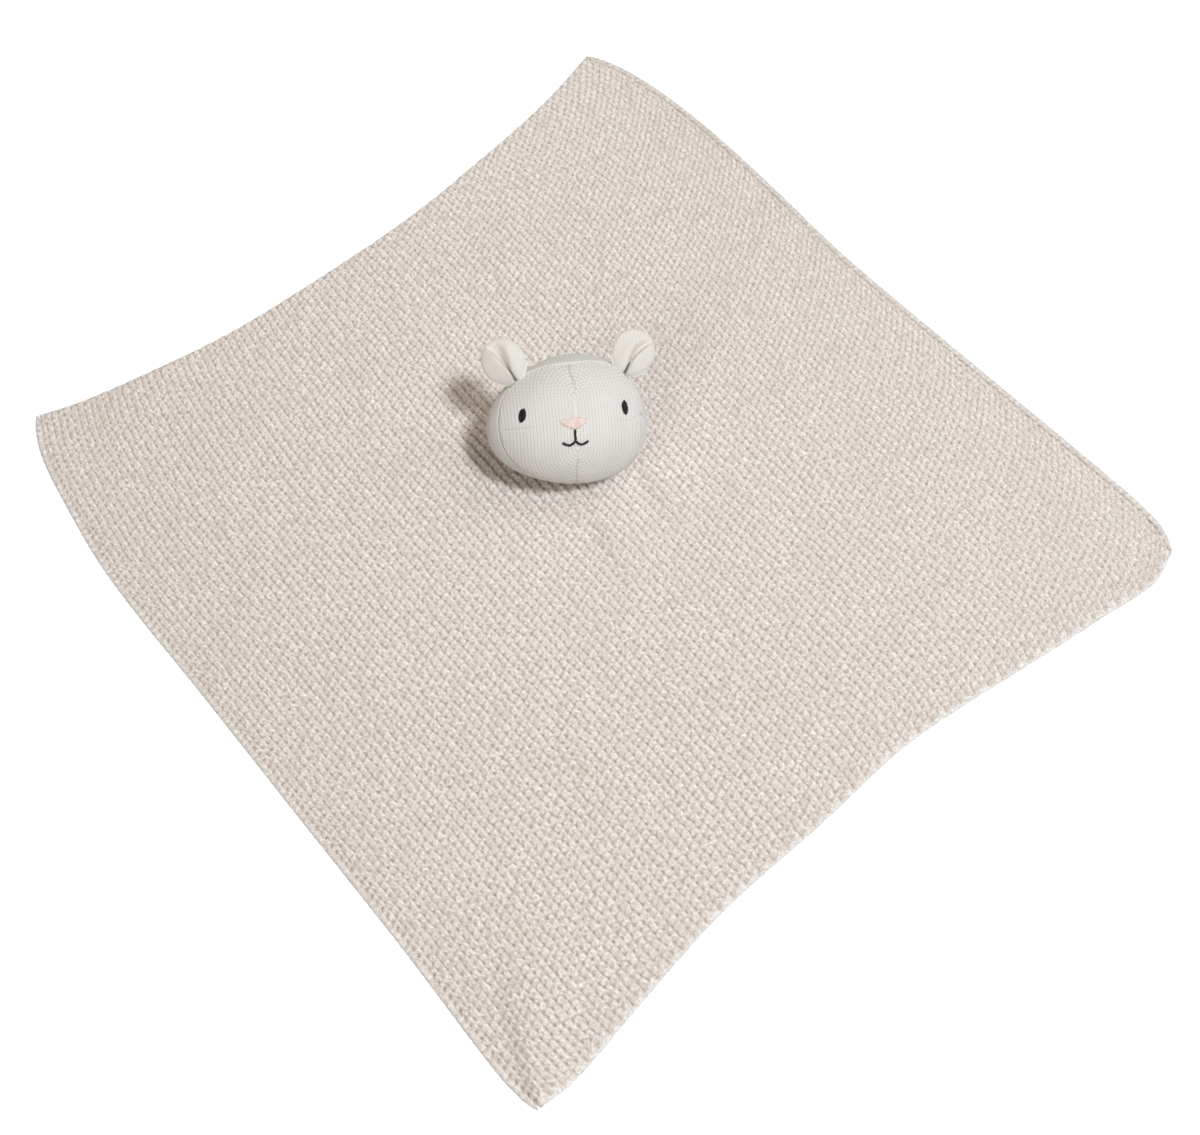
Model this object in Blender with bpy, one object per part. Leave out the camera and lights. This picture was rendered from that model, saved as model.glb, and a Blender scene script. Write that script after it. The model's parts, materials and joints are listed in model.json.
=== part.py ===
"""Knitted comfort blanket with a small stuffed animal head sewn to its middle.

The square cloth lies flat with one corner to the front (-Y). The head lies back
on the cloth, face up and forward, and is tied to it at the neck.
Metres, +Z up. The origin is on the ground under the middle of the cloth's outline.
"""
import math

import bpy
import bmesh
from mathutils import Matrix, Vector

# Clearances between separate pieces
GAP = 0.0003                 # between neighbours that touch
STUFFING_GAP = 0.0006        # round the filling of the head
SEAM_GAP = 0.0005            # from the seam's thread to the panels
EAR_LAYER_GAP = 0.0004       # between the two discs of an ear
REST_CLEARANCE = 0.0018      # under the head, so that it can lean to either side

# Knitted cloth
CLOTH_SIDE = 0.380           # mean length of its four sides
CLOTH_THICK = 0.0030
BAND_WIDTH = 0.0026          # smooth knitted band along two sides
BAND_HEIGHT = 0.0024

# Stuffed head, half sizes along its own right, up and forward
HEAD_HALF_WIDTH = 0.0363
HEAD_HALF_HEIGHT = 0.0290
HEAD_HALF_DEPTH = 0.0260
SKIN_THICK = 0.0012          # jersey of face, back and ears
SEAM_FORWARD = 0.0145        # face seam ahead of the head's middle
SEAM_EAR_DIP = 0.0090        # how far the seam runs back at the ears
SEAM_CHIN_DIP = 0.0065       # and under the chin
SEAM_THREAD_RADIUS = 0.0004

# How the head lies, in degrees
HEAD_YAW = 19.6
HEAD_TILT = 54.3
HEAD_ROLL = -8.3
NOD_AXIS_YAW = 12.0          # the head nods about this level line through the neck
NECK_BACK_ANGLE = 20.0       # neck behind the chin, seen from the head's middle

# Neck tie
KNOT_RADIUS = 0.0016
TUFT_RADIUS = 0.0110         # cloth drawn up under the neck

# Ears
EAR_RADIUS = 0.0096
EAR_ROOT_RISE = 0.0009       # bottom edge of an ear above its hinge line
EAR_ROOT_GAP = 0.0005        # hinge line above the head
EAR_CUP = 0.0038             # how far the sides of an ear turn forward
EAR_RIM_THICK = 0.0004
EAR_SPREAD = 27.0            # degrees from the head's upright
EAR_RIGHT_TURN = 44.0        # degrees round the head, from its right side
EAR_LEFT_TURN = 133.0

# Embroidery
EYE_HEIGHT = 0.0058          # above the head's middle
EYE_HALF_WIDTH = 0.00175
EYE_HALF_HEIGHT = 0.0034
EYE_LEAN = 12.0
STITCH_RISE = 0.0007
FACE_SHIFT = -0.0009         # nose and mouth beside the head's middle
NOSE_HALF_WIDTH = 0.0056
NOSE_TOP = 0.0022
NOSE_BOTTOM = 0.0033
NOSE_HEIGHT = 0.0017
MOUTH_RADIUS = 0.00055
MOUTH_HEIGHT = -0.0062       # where the stem meets the smile
MOUTH_HALF_WIDTH = 0.0057
MOUTH_DROP = 0.0021

# Folds of the cloth
FOLD_RISE = 0.0018
FOLD_HALF_WIDTH = 0.0100
FOLD_REACH_SHARE = 0.26315789  # of the cloth's side
# Each fold: its direction in degrees, then as shares of that reach, seen from the neck, where it
# starts and ends and how far it lies to the left, then shares of the half width to its right
# and left, and of the rise
FOLD_SHARES = (
    (-55.0, -0.02, 0.68, 0.040, 1.10, 2.40, 1.65),
    (-55.0, -0.08, 0.55, 0.365, 1.00, 2.20, 1.45),
    (-90.0, 0.65, 1.50, -0.055, 0.80, 1.20, 0.35),
    (-90.0, 0.65, 1.45, 0.120, 0.80, 1.20, 0.30),
    (-68.0, 1.90, 2.75, -0.870, 0.90, 2.60, 2.20),
    (125.0, 0.90, 1.65, -0.300, 2.00, 0.80, 0.70),
    (-68.0, -1.20, -0.50, -1.950, 1.20, 2.50, 0.60),
)

# Corners of the cloth as shares of its side, before it is centred
LEFT_CORNER_SHARES = (-0.702, 0.042)
BACK_CORNER_SHARES = (-0.057, 0.700)
RIGHT_CORNER_SHARES = (0.714, -0.026)
FRONT_CORNER_SHARES = (0.011, -0.712)

# Outline of each side: share along it, and share of its length that it bows outward
LEFT_TO_BACK_SHARES = (
    (0.0, 0.0), (0.06, -0.021), (0.14, -0.039), (0.28, -0.062), (0.45, -0.069),
    (0.60, -0.067), (0.74, -0.052), (0.88, -0.031), (1.0, 0.0),
)
BACK_TO_RIGHT_SHARES = (
    (0.0, 0.0), (0.05, 0.018), (0.12, 0.029), (0.22, 0.032), (0.34, 0.026),
    (0.47, 0.017), (0.70, 0.017), (0.90, 0.018), (0.965, 0.014), (1.0, 0.0),
)
RIGHT_TO_FRONT_SHARES = (
    (0.0, 0.0), (0.05, 0.015), (0.13, 0.006), (0.24, -0.009), (0.36, -0.026),
    (0.44, -0.033), (0.56, -0.029), (0.72, -0.027), (0.85, -0.011), (0.95, 0.003),
    (1.0, 0.0),
)
FRONT_TO_LEFT_SHARES = (
    (0.0, 0.0), (0.05, 0.007), (0.20, 0.011), (0.38, 0.019), (0.56, 0.027),
    (0.76, 0.036), (0.88, 0.028), (0.95, 0.018), (1.0, 0.0),
)
NECK_ALONG_SHARE = 0.478     # from the left-to-back side to the right-to-front side
NECK_ACROSS_SHARE = 0.496    # from the front-to-left side to the back-to-right side
EYE_SPACING_SHARE = 0.62     # of the head's half width, from the middle of the face
CHEEK_SHARE = 0.042          # swell of the crown and both cheeks
CHEEK_TURN = 73.0            # degrees round the head where the crown swells most
SEAM_DIP_SPAN = 22.0         # degrees round the head
CHIN_DIP_SPAN = 50.0
CHIN_TURN = 270.0
EAR_BASE_POWER = 0.6         # below one widens the base of an ear
EAR_CUP_POWER = 1.6          # above one keeps the middle of an ear flat
EAR_TIP_FLAT_SHARE = 0.30    # cup lost towards the tip
EAR_LEAN_SHARE = 0.25        # tip leaning back, as a share of the cup
PAD_EDGE_SHARE = 0.60        # rise of a stitched pad lost at its edge
NOSE_TOP_POWER = 1.11        # how square the nose is above and below its corners
NOSE_BOTTOM_POWER = 1.60
SMILE_MIDDLE_SHARE = 0.72    # how much of the smile hangs between cusp and end
SMILE_POWER = 0.8
HEAD_SWELLS = 3              # the crown and both cheeks

# Mesh resolution
SHARP_ANGLE = 50.0           # edges sharper than this stay crisp
CLOTH_CELLS = 24
CLOTH_CROWDING = 1.7         # cells are finer towards the neck
BAND_STEPS = 36
BAND_SIDES = 6
HEAD_SEGMENTS = 40
FACE_RINGS = 9
BACK_RINGS = 12
STUFFING_SEGMENTS = 28
STUFFING_RINGS = 14
SEAM_STEPS = 64
THREAD_SIDES = 6
KNOT_SEGMENTS = 14
KNOT_RINGS = 9
EAR_SEGMENTS = 22
EAR_RINGS = 4
EYE_SEGMENTS = 14
NOSE_SEGMENTS = 20
PATCH_RINGS = 3
MOUTH_STEPS = 16
NORMAL_STEP_SHARE = 0.01
FACE_PASSES = 6


def clear_scene():
    for item in list(bpy.data.objects):
        bpy.data.objects.remove(item, do_unlink=True)


def material(name, colour, roughness):
    made = bpy.data.materials.new(name)
    made.use_nodes = True
    shader = made.node_tree.nodes["Principled BSDF"]
    shader.inputs["Base Color"].default_value = (*colour, 1.0)
    shader.inputs["Roughness"].default_value = roughness
    shader.inputs["Metallic"].default_value = 0.0
    return made


def add_piece(name, vertices, faces, finish, parent=None):
    """One closed body as its own object, its faces turned outward."""
    mesh = bpy.data.meshes.new(name)
    mesh.from_pydata([tuple(v) for v in vertices], [], faces)
    work = bmesh.new()
    work.from_mesh(mesh)
    bmesh.ops.recalc_face_normals(work, faces=work.faces)
    work.to_mesh(mesh)
    work.free()
    mesh.shade_smooth()
    mesh.set_sharp_from_angle(angle=math.radians(SHARP_ANGLE))
    mesh.materials.append(finish)
    piece = bpy.data.objects.new(name, mesh)
    bpy.context.collection.objects.link(piece)
    piece.parent = parent
    return piece


def add_pivot(name, matrix, parent=None):
    """An empty on a joint's axis, which carries what turns about it."""
    pivot = bpy.data.objects.new(name, None)
    bpy.context.collection.objects.link(pivot)
    pivot.parent = parent
    pivot.matrix_basis = matrix
    return pivot


def smooth_value(points, x):
    """Smooth curve through points (place, value), read at place x."""
    last = len(points) - 1
    i = 0
    while i < last - 1 and x > points[i + 1][0]:
        i += 1

    def slope(k):
        low, high = max(k - 1, 0), min(k + 1, last)
        return (points[high][1] - points[low][1]) / (points[high][0] - points[low][0])

    x0, y0 = points[i]
    x1, y1 = points[i + 1]
    span = x1 - x0
    t = (x - x0) / span
    return (
        (2 * t**3 - 3 * t**2 + 1) * y0
        + (t**3 - 2 * t**2 + t) * span * slope(i)
        + (3 * t**2 - 2 * t**3) * y1
        + (t**3 - t**2) * span * slope(i + 1)
    )


def side_point(start, end, shares, t):
    """Point at share t of a bowed side; outward is to the left of its direction."""
    run = end - start
    outward = Vector((-run.y, run.x))
    return start + run * t + outward * smooth_value(shares, t)


def corner(shares):
    return Vector(shares) * CLOTH_SIDE


def patch_point(along, across):
    """Point of the cloth: along from its left-to-back side, across from its left."""
    left, back = corner(LEFT_CORNER_SHARES), corner(BACK_CORNER_SHARES)
    right, front = corner(RIGHT_CORNER_SHARES), corner(FRONT_CORNER_SHARES)
    lower = side_point(front, left, FRONT_TO_LEFT_SHARES, 1 - along)
    upper = side_point(back, right, BACK_TO_RIGHT_SHARES, along)
    near = side_point(left, back, LEFT_TO_BACK_SHARES, across)
    far = side_point(right, front, RIGHT_TO_FRONT_SHARES, 1 - across)
    blend = (
        left * (1 - along) * (1 - across)
        + back * (1 - along) * across
        + front * along * (1 - across)
        + right * along * across
    )
    return lower * (1 - across) + upper * across + near * (1 - along) + far * along - blend


def outline_middle():
    """Middle of the box round the cloth's outline."""
    steps = [i / BAND_STEPS for i in range(BAND_STEPS + 1)]
    rim = [patch_point(t, s) for t in steps for s in (0, 1)]
    rim += [patch_point(s, t) for t in steps for s in (0, 1)]
    xs, ys = [p.x for p in rim], [p.y for p in rim]
    return Vector(((min(xs) + max(xs)) / 2, (min(ys) + max(ys)) / 2))


MIDDLE = outline_middle()


def cloth_point(along, across):
    return patch_point(along, across) - MIDDLE


def head_axes():
    """The head's own right, up and forward directions as it lies."""
    yaw, tilt, roll = (math.radians(a) for a in (HEAD_YAW, HEAD_TILT, HEAD_ROLL))
    forward = Vector((
        math.sin(yaw) * math.cos(tilt), -math.cos(yaw) * math.cos(tilt), math.sin(tilt)
    ))
    level = Vector((math.cos(yaw), math.sin(yaw), 0))
    upright = forward.cross(level)
    right = level * math.cos(roll) + upright * math.sin(roll)
    return right, forward.cross(right), forward


RIGHT, UP, FORWARD = head_axes()
HEAD_HALVES = (HEAD_HALF_WIDTH, HEAD_HALF_HEIGHT, HEAD_HALF_DEPTH)


def head_reach_down():
    """How far the head reaches below its own middle as it lies."""
    parts = (half * axis.z for half, axis in zip(HEAD_HALVES, (RIGHT, UP, FORWARD)))
    return math.sqrt(sum(p * p for p in parts))


def neck_from_head():
    """The neck knot's place from the head's middle, in the head's own directions."""
    back = math.radians(NECK_BACK_ANGLE)
    way = Vector((0, -math.cos(back), -math.sin(back)))
    surface = 1 / math.sqrt(sum((w / half) ** 2 for w, half in zip(way, HEAD_HALVES)))
    return way * (surface + KNOT_RADIUS + GAP)


NECK_LOCAL = neck_from_head()
NECK_TO_HEAD = -(RIGHT * NECK_LOCAL.x + UP * NECK_LOCAL.y + FORWARD * NECK_LOCAL.z)
HEAD_HEIGHT = CLOTH_THICK + REST_CLEARANCE + head_reach_down()
NECK_FLAT = cloth_point(NECK_ALONG_SHARE, NECK_ACROSS_SHARE)
NECK = Vector((NECK_FLAT.x, NECK_FLAT.y, HEAD_HEIGHT - NECK_TO_HEAD.z))
TUFT_RISE = NECK.z - KNOT_RADIUS - GAP - CLOTH_THICK


def hump(x):
    """One at zero, falling smoothly to nothing at plus and minus one."""
    return 0.5 + 0.5 * math.cos(math.pi * x) if abs(x) < 1 else 0.0


def cloth_lift(point):
    """How far the cloth is drawn up off the ground at a flat point."""
    away = point - NECK_FLAT
    lift = TUFT_RISE * hump(away.length / TUFT_RADIUS)
    reach = CLOTH_SIDE * FOLD_REACH_SHARE
    for angle, start, end, aside, wide_right, wide_left, rise in FOLD_SHARES:
        way = Vector((math.cos(math.radians(angle)), math.sin(math.radians(angle))))
        along = away.dot(way) / reach
        beside = away.dot(Vector((-way.y, way.x))) - aside * reach
        beside /= FOLD_HALF_WIDTH * (wide_left if beside > 0 else wide_right)
        middle, half = (start + end) / 2, (end - start) / 2
        lift += FOLD_RISE * rise * hump((along - middle) / half) * hump(beside)
    return lift


def rim_share(along, depth):
    """Share across the cloth that lies a depth inside its banded sides."""
    return depth / (cloth_point(along, 1.0) - cloth_point(along, 0.0)).length


def crowded(low, middle, high, count):
    """Places from low to high, closer together near the middle."""
    half = count // 2
    below = [middle - (middle - low) * (i / half) ** CLOTH_CROWDING for i in range(half, 0, -1)]
    above = [middle + (high - middle) * (i / half) ** CLOTH_CROWDING for i in range(1, half + 1)]
    return below + [middle] + above


def make_cloth(finish):
    """The knitted square: one sheet of even thickness, drawn up under the neck."""
    alongs = crowded(0.0, NECK_ALONG_SHARE, 1.0, CLOTH_CELLS)
    row = CLOTH_CELLS + 1
    vertices = []
    for level in (0.0, CLOTH_THICK):
        for along in alongs:
            inset = rim_share(along, BAND_WIDTH + GAP)
            for across in crowded(inset, NECK_ACROSS_SHARE, 1.0 - inset, CLOTH_CELLS):
                flat = cloth_point(along, across)
                vertices.append((flat.x, flat.y, cloth_lift(flat) + level))
    faces = []
    top = row * row
    for i in range(CLOTH_CELLS):
        for j in range(CLOTH_CELLS):
            a, b, c, d = i * row + j, (i + 1) * row + j, (i + 1) * row + j + 1, i * row + j + 1
            faces.append((a, d, c, b))
            faces.append((top + a, top + b, top + c, top + d))
    rim = [j for j in range(CLOTH_CELLS)]
    rim += [i * row + CLOTH_CELLS for i in range(CLOTH_CELLS)]
    rim += [CLOTH_CELLS * row + j for j in range(CLOTH_CELLS, 0, -1)]
    rim += [i * row for i in range(CLOTH_CELLS, 0, -1)]
    for k, a in enumerate(rim):
        b = rim[(k + 1) % len(rim)]
        faces.append((a, b, top + b, top + a))
    return add_piece("blanket", vertices, faces, finish)


def ring_faces(rings, sides, closed):
    """Quads between rings of equal size; an open run gets its two end caps."""
    faces = []
    last = rings if closed else rings - 1
    for i in range(last):
        here, there = i * sides, (i + 1) % rings * sides
        for j in range(sides):
            k = (j + 1) % sides
            faces.append((here + j, here + k, there + k, there + j))
    if not closed:
        faces.append(tuple(range(sides))[::-1])
        faces.append(tuple(range((rings - 1) * sides, rings * sides)))
    return faces


def make_band(name, upper, finish):
    """A smooth rounded band along one side of the cloth, flat on the ground."""
    turns = [2 * math.pi * j / BAND_SIDES for j in range(BAND_SIDES)]
    crest = max(math.sin(turn) for turn in turns)
    path = []
    for i in range(BAND_STEPS + 1):
        across = rim_share(i / BAND_STEPS, BAND_WIDTH / 2)
        path.append(cloth_point(i / BAND_STEPS, 1 - across if upper else across))
    vertices = []
    for i, place in enumerate(path):
        run = (path[min(i + 1, BAND_STEPS)] - path[max(i - 1, 0)]).normalized()
        beside = Vector((-run.y, run.x)) * BAND_WIDTH / 2
        lift = cloth_lift(place) + BAND_HEIGHT / 2
        for turn in turns:
            edge = place + beside * math.cos(turn)
            vertices.append((edge.x, edge.y, lift + BAND_HEIGHT / 2 * math.sin(turn) / crest))
    return add_piece(name, vertices, ring_faces(BAND_STEPS + 1, BAND_SIDES, False), finish)


def swell(polar, turn):
    """Width factor that fills out the crown and the two cheeks."""
    wave = math.cos(HEAD_SWELLS * (turn - math.radians(CHEEK_TURN)))
    return 1 + CHEEK_SHARE * wave * math.sin(polar) ** 2


def head_point(polar, turn, inset=0.0):
    """Point of the head, in its own directions, inset from its surface."""
    width, height, depth = (half - inset for half in HEAD_HALVES)
    around = math.sin(polar) * swell(polar, turn)
    return Vector((
        width * around * math.cos(turn),
        height * around * math.sin(turn),
        depth * math.cos(polar),
    ))


def face_point(right, up, lift=0.0):
    """Point lifted off the front of the head, over a place to its right and up."""
    def on_face(r, u):
        wide, high = r / HEAD_HALF_WIDTH, u / HEAD_HALF_HEIGHT
        turn = math.atan2(high, wide)
        around = math.hypot(wide, high)
        polar = math.asin(min(around, 1))
        for _ in range(FACE_PASSES):
            polar = math.asin(min(around / swell(polar, turn), 1))
        return Vector((r, u, HEAD_HALF_DEPTH * math.cos(polar)))

    step = NORMAL_STEP_SHARE * HEAD_HALF_DEPTH
    here = on_face(right, up)
    normal = (on_face(right + step, up) - here).cross(on_face(right, up + step) - here)
    return here + normal.normalized() * lift


def face_frame(right, up):
    """Unit directions along the face at a place: sideways, upward."""
    step = NORMAL_STEP_SHARE * HEAD_HALF_DEPTH
    here = face_point(right, up)
    side = (face_point(right + step, up) - here).normalized()
    rise = (face_point(right, up + step) - here).normalized()
    return side, rise


def seam_place(turn):
    """How far forward the seam lies at a turn round the head."""
    dips = (
        (EAR_RIGHT_TURN, SEAM_EAR_DIP, SEAM_DIP_SPAN),
        (EAR_LEFT_TURN, SEAM_EAR_DIP, SEAM_DIP_SPAN),
        (CHIN_TURN, SEAM_CHIN_DIP, CHIN_DIP_SPAN),
    )
    place = SEAM_FORWARD
    for middle, dip, span in dips:
        off = (math.degrees(turn) - middle + 180) % 360 - 180
        place -= dip * math.exp(-0.5 * (off / span) ** 2)
    return place


def polar_at(forward, inset):
    return math.acos(forward / (HEAD_HALF_DEPTH - inset))


def make_shell(name, front, rings, finish, parent):
    """One jersey panel of the head: a thin shell from its pole to the seam."""
    edge = SEAM_THREAD_RADIUS + SEAM_GAP
    vertices, faces = [], []
    for inset in (0.0, SKIN_THICK):
        start = len(vertices)
        vertices.append(head_point(0.0 if front else math.pi, 0.0, inset))
        for i in range(1, rings + 1):
            for j in range(HEAD_SEGMENTS):
                turn = 2 * math.pi * j / HEAD_SEGMENTS
                seam = seam_place(turn)
                if front:
                    polar = polar_at(seam + edge, inset) * i / rings
                else:
                    polar = math.pi - (math.pi - polar_at(seam - edge, inset)) * i / rings
                vertices.append(head_point(polar, turn, inset))
        for j in range(HEAD_SEGMENTS):
            k = (j + 1) % HEAD_SEGMENTS
            faces.append((start, start + 1 + j, start + 1 + k))
            for i in range(rings - 1):
                a, b = start + 1 + i * HEAD_SEGMENTS, start + 1 + (i + 1) * HEAD_SEGMENTS
                faces.append((a + j, b + j, b + k, a + k))
    inner = len(vertices) // 2
    rim = 1 + (rings - 1) * HEAD_SEGMENTS
    for j in range(HEAD_SEGMENTS):
        k = (j + 1) % HEAD_SEGMENTS
        faces.append((rim + j, rim + k, inner + rim + k, inner + rim + j))
    return add_piece(name, vertices, faces, finish, parent)


def make_stuffing(finish, parent):
    """The filling: a plain swelling body inside the two panels."""
    inset = SKIN_THICK + STUFFING_GAP
    vertices = [head_point(0.0, 0.0, inset)]
    for i in range(1, STUFFING_RINGS):
        for j in range(STUFFING_SEGMENTS):
            turn = 2 * math.pi * j / STUFFING_SEGMENTS
            vertices.append(head_point(math.pi * i / STUFFING_RINGS, turn, inset))
    vertices.append(head_point(math.pi, 0.0, inset))
    last = len(vertices) - 1
    faces = []
    for j in range(STUFFING_SEGMENTS):
        k = (j + 1) % STUFFING_SEGMENTS
        faces.append((0, 1 + j, 1 + k))
        for i in range(STUFFING_RINGS - 2):
            a, b = 1 + i * STUFFING_SEGMENTS, 1 + (i + 1) * STUFFING_SEGMENTS
            faces.append((a + j, b + j, b + k, a + k))
        ring = last - STUFFING_SEGMENTS
        faces.append((last, ring + k, ring + j))
    return add_piece("head_stuffing", vertices, faces, finish, parent)


def tube(path, radius, sides, closed, away):
    """Vertices of a thread along a path; away(i) is a direction off what carries it."""
    count = len(path)
    vertices = []
    for i, place in enumerate(path):
        before = path[(i - 1) % count] if closed else path[max(i - 1, 0)]
        after = path[(i + 1) % count] if closed else path[min(i + 1, count - 1)]
        run = (after - before).normalized()
        side = run.cross(away(i)).normalized()
        out = side.cross(run)
        for j in range(sides):
            turn = 2 * math.pi * j / sides
            vertices.append(place + (side * math.cos(turn) + out * math.sin(turn)) * radius)
    return vertices


def make_seam_thread(finish, parent):
    """The thread that closes the head, in the groove between its two panels."""
    inset = SKIN_THICK / 2
    path = []
    for i in range(SEAM_STEPS):
        turn = 2 * math.pi * i / SEAM_STEPS
        path.append(head_point(polar_at(seam_place(turn), inset), turn, inset))
    vertices = tube(path, SEAM_THREAD_RADIUS, THREAD_SIDES, True, lambda i: path[i])
    faces = ring_faces(SEAM_STEPS, THREAD_SIDES, True)
    return add_piece("seam_thread", vertices, faces, finish, parent)


def make_patch(name, right, up, outline, segments, finish, parent):
    """A raised pad of stitches on the face, domed over a flat outline."""
    side, rise = face_frame(right, up)
    centre = face_point(right, up)

    def pad_point(x, y, lift):
        place = centre + side * x + rise * y
        return face_point(place.x, place.y, lift)

    vertices, faces = [], []
    for top in (False, True):
        start = len(vertices)
        vertices.append(pad_point(0, 0, GAP + (STITCH_RISE if top else 0)))
        for i in range(1, PATCH_RINGS + 1):
            share = i / PATCH_RINGS
            dome = STITCH_RISE * (1 - PAD_EDGE_SHARE * share**2)
            for j in range(segments):
                x, y = outline(2 * math.pi * j / segments)
                vertices.append(pad_point(x * share, y * share, GAP + (dome if top else 0)))
        for j in range(segments):
            k = (j + 1) % segments
            faces.append((start, start + 1 + j, start + 1 + k))
            for i in range(PATCH_RINGS - 1):
                a, b = start + 1 + i * segments, start + 1 + (i + 1) * segments
                faces.append((a + j, b + j, b + k, a + k))
    upper = len(vertices) // 2
    rim = 1 + (PATCH_RINGS - 1) * segments
    for j in range(segments):
        k = (j + 1) % segments
        faces.append((rim + j, rim + k, upper + rim + k, upper + rim + j))
    return add_piece(name, vertices, faces, finish, parent)


def make_eye(name, hand, finish, parent):
    """An upright oval of satin stitches, its top leaning to the nose."""
    lean = math.radians(EYE_LEAN) * hand

    def outline(turn):
        x, y = EYE_HALF_WIDTH * math.cos(turn), EYE_HALF_HEIGHT * math.sin(turn)
        return x * math.cos(lean) - y * math.sin(lean), x * math.sin(lean) + y * math.cos(lean)

    right = hand * EYE_SPACING_SHARE * HEAD_HALF_WIDTH
    return make_patch(name, right, EYE_HEIGHT, outline, EYE_SEGMENTS, finish, parent)


def make_nose(finish, parent):
    """A wide triangle of satin stitches: rounded above, pointed below."""
    def outline(turn):
        c, s = math.cos(turn), math.sin(turn)
        power = NOSE_TOP_POWER if s >= 0 else NOSE_BOTTOM_POWER
        height = NOSE_TOP if s >= 0 else NOSE_BOTTOM
        return (
            math.copysign(abs(c) ** power, c) * NOSE_HALF_WIDTH,
            math.copysign(abs(s) ** power, s) * height,
        )

    return make_patch("nose", FACE_SHIFT, NOSE_HEIGHT, outline, NOSE_SEGMENTS, finish, parent)


def make_mouth_line(name, places, finish, parent):
    """A line of stitches over places on the face."""
    path = [face_point(x, y, GAP + MOUTH_RADIUS) for x, y in places]
    vertices = tube(
        path, MOUTH_RADIUS, THREAD_SIDES, False,
        lambda i: path[i] - face_point(*places[i]),
    )
    faces = ring_faces(len(path), THREAD_SIDES, False)
    return add_piece(name, vertices, faces, finish, parent)


def make_mouth(finish, parent):
    """A short stem under the nose, and a smile of two hanging curves."""
    top = NOSE_HEIGHT - NOSE_BOTTOM - GAP
    bottom = MOUTH_HEIGHT + MOUTH_RADIUS + GAP
    steps = MOUTH_STEPS // 4
    stem = [(FACE_SHIFT, top + (bottom - top) * i / steps) for i in range(steps + 1)]
    smile = []
    for i in range(-MOUTH_STEPS, MOUTH_STEPS + 1):
        share = i / MOUTH_STEPS
        reach = abs(share)
        hang = math.sin(math.pi * reach**SMILE_POWER)
        fall = math.sin(math.pi / 2 * reach)
        sag = hang * SMILE_MIDDLE_SHARE + fall * (1 - SMILE_MIDDLE_SHARE)
        smile.append((FACE_SHIFT + share * MOUTH_HALF_WIDTH, MOUTH_HEIGHT - MOUTH_DROP * sag))
    make_mouth_line("mouth_stem", stem, finish, parent)
    make_mouth_line("mouth_smile", smile, finish, parent)


def ear_root(hand):
    """An ear's hinge point and its across, outward and forward directions."""
    turn = math.radians(EAR_RIGHT_TURN if hand > 0 else EAR_LEFT_TURN)
    polar = polar_at(seam_place(turn), 0.0)
    root = head_point(polar, turn)
    spread = math.radians(EAR_SPREAD) * hand
    outward = Vector((math.sin(spread), math.cos(spread), 0))
    forward = Vector((0, 0, 1))
    return root + outward * EAR_ROOT_GAP, outward.cross(forward), outward, forward


def ear_point(x, y, lift):
    """Point of an ear, from a unit disc, in its across, outward and forward ways."""
    reach = EAR_ROOT_RISE + EAR_RADIUS * (1 + y)
    across = EAR_RADIUS * x
    cup = EAR_CUP * (1 - EAR_TIP_FLAT_SHARE * (1 + y) / 2) * abs(x) ** EAR_CUP_POWER
    lean_back = EAR_CUP * EAR_LEAN_SHARE * ((1 + y) / 2) ** 2
    return Vector((across, reach, cup - lean_back + lift))


def make_ear_layer(name, front, finish, parent):
    """One of the two cupped discs of jersey that make an ear."""
    vertices, faces = [], []
    sign = 1 if front else -1
    for outer in (False, True):
        start = len(vertices)
        for i in range(EAR_RINGS + 1):
            share = i / EAR_RINGS
            thick = EAR_RIM_THICK + (SKIN_THICK - EAR_RIM_THICK) * (1 - share**4)
            lift = sign * (EAR_LAYER_GAP / 2 + (thick if outer else 0))
            for j in range(EAR_SEGMENTS if i else 1):
                turn = 2 * math.pi * j / EAR_SEGMENTS
                x, y = math.cos(turn), math.sin(turn)
                if y < 0:
                    x = math.copysign(abs(x) ** EAR_BASE_POWER, x)
                vertices.append(ear_point(x * share, y * share, lift))
        for j in range(EAR_SEGMENTS):
            k = (j + 1) % EAR_SEGMENTS
            faces.append((start, start + 1 + j, start + 1 + k))
            for i in range(EAR_RINGS - 1):
                a, b = start + 1 + i * EAR_SEGMENTS, start + 1 + (i + 1) * EAR_SEGMENTS
                faces.append((a + j, b + j, b + k, a + k))
    outer = len(vertices) // 2
    rim = 1 + (EAR_RINGS - 1) * EAR_SEGMENTS
    for j in range(EAR_SEGMENTS):
        k = (j + 1) % EAR_SEGMENTS
        faces.append((rim + j, rim + k, outer + rim + k, outer + rim + j))
    return add_piece(name, vertices, faces, finish, parent)


def columns(x, y, z, place):
    """Matrix whose axes are x, y and z and whose origin is place."""
    matrix = Matrix((x, y, z)).transposed().to_4x4()
    matrix.translation = place
    return matrix


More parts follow.
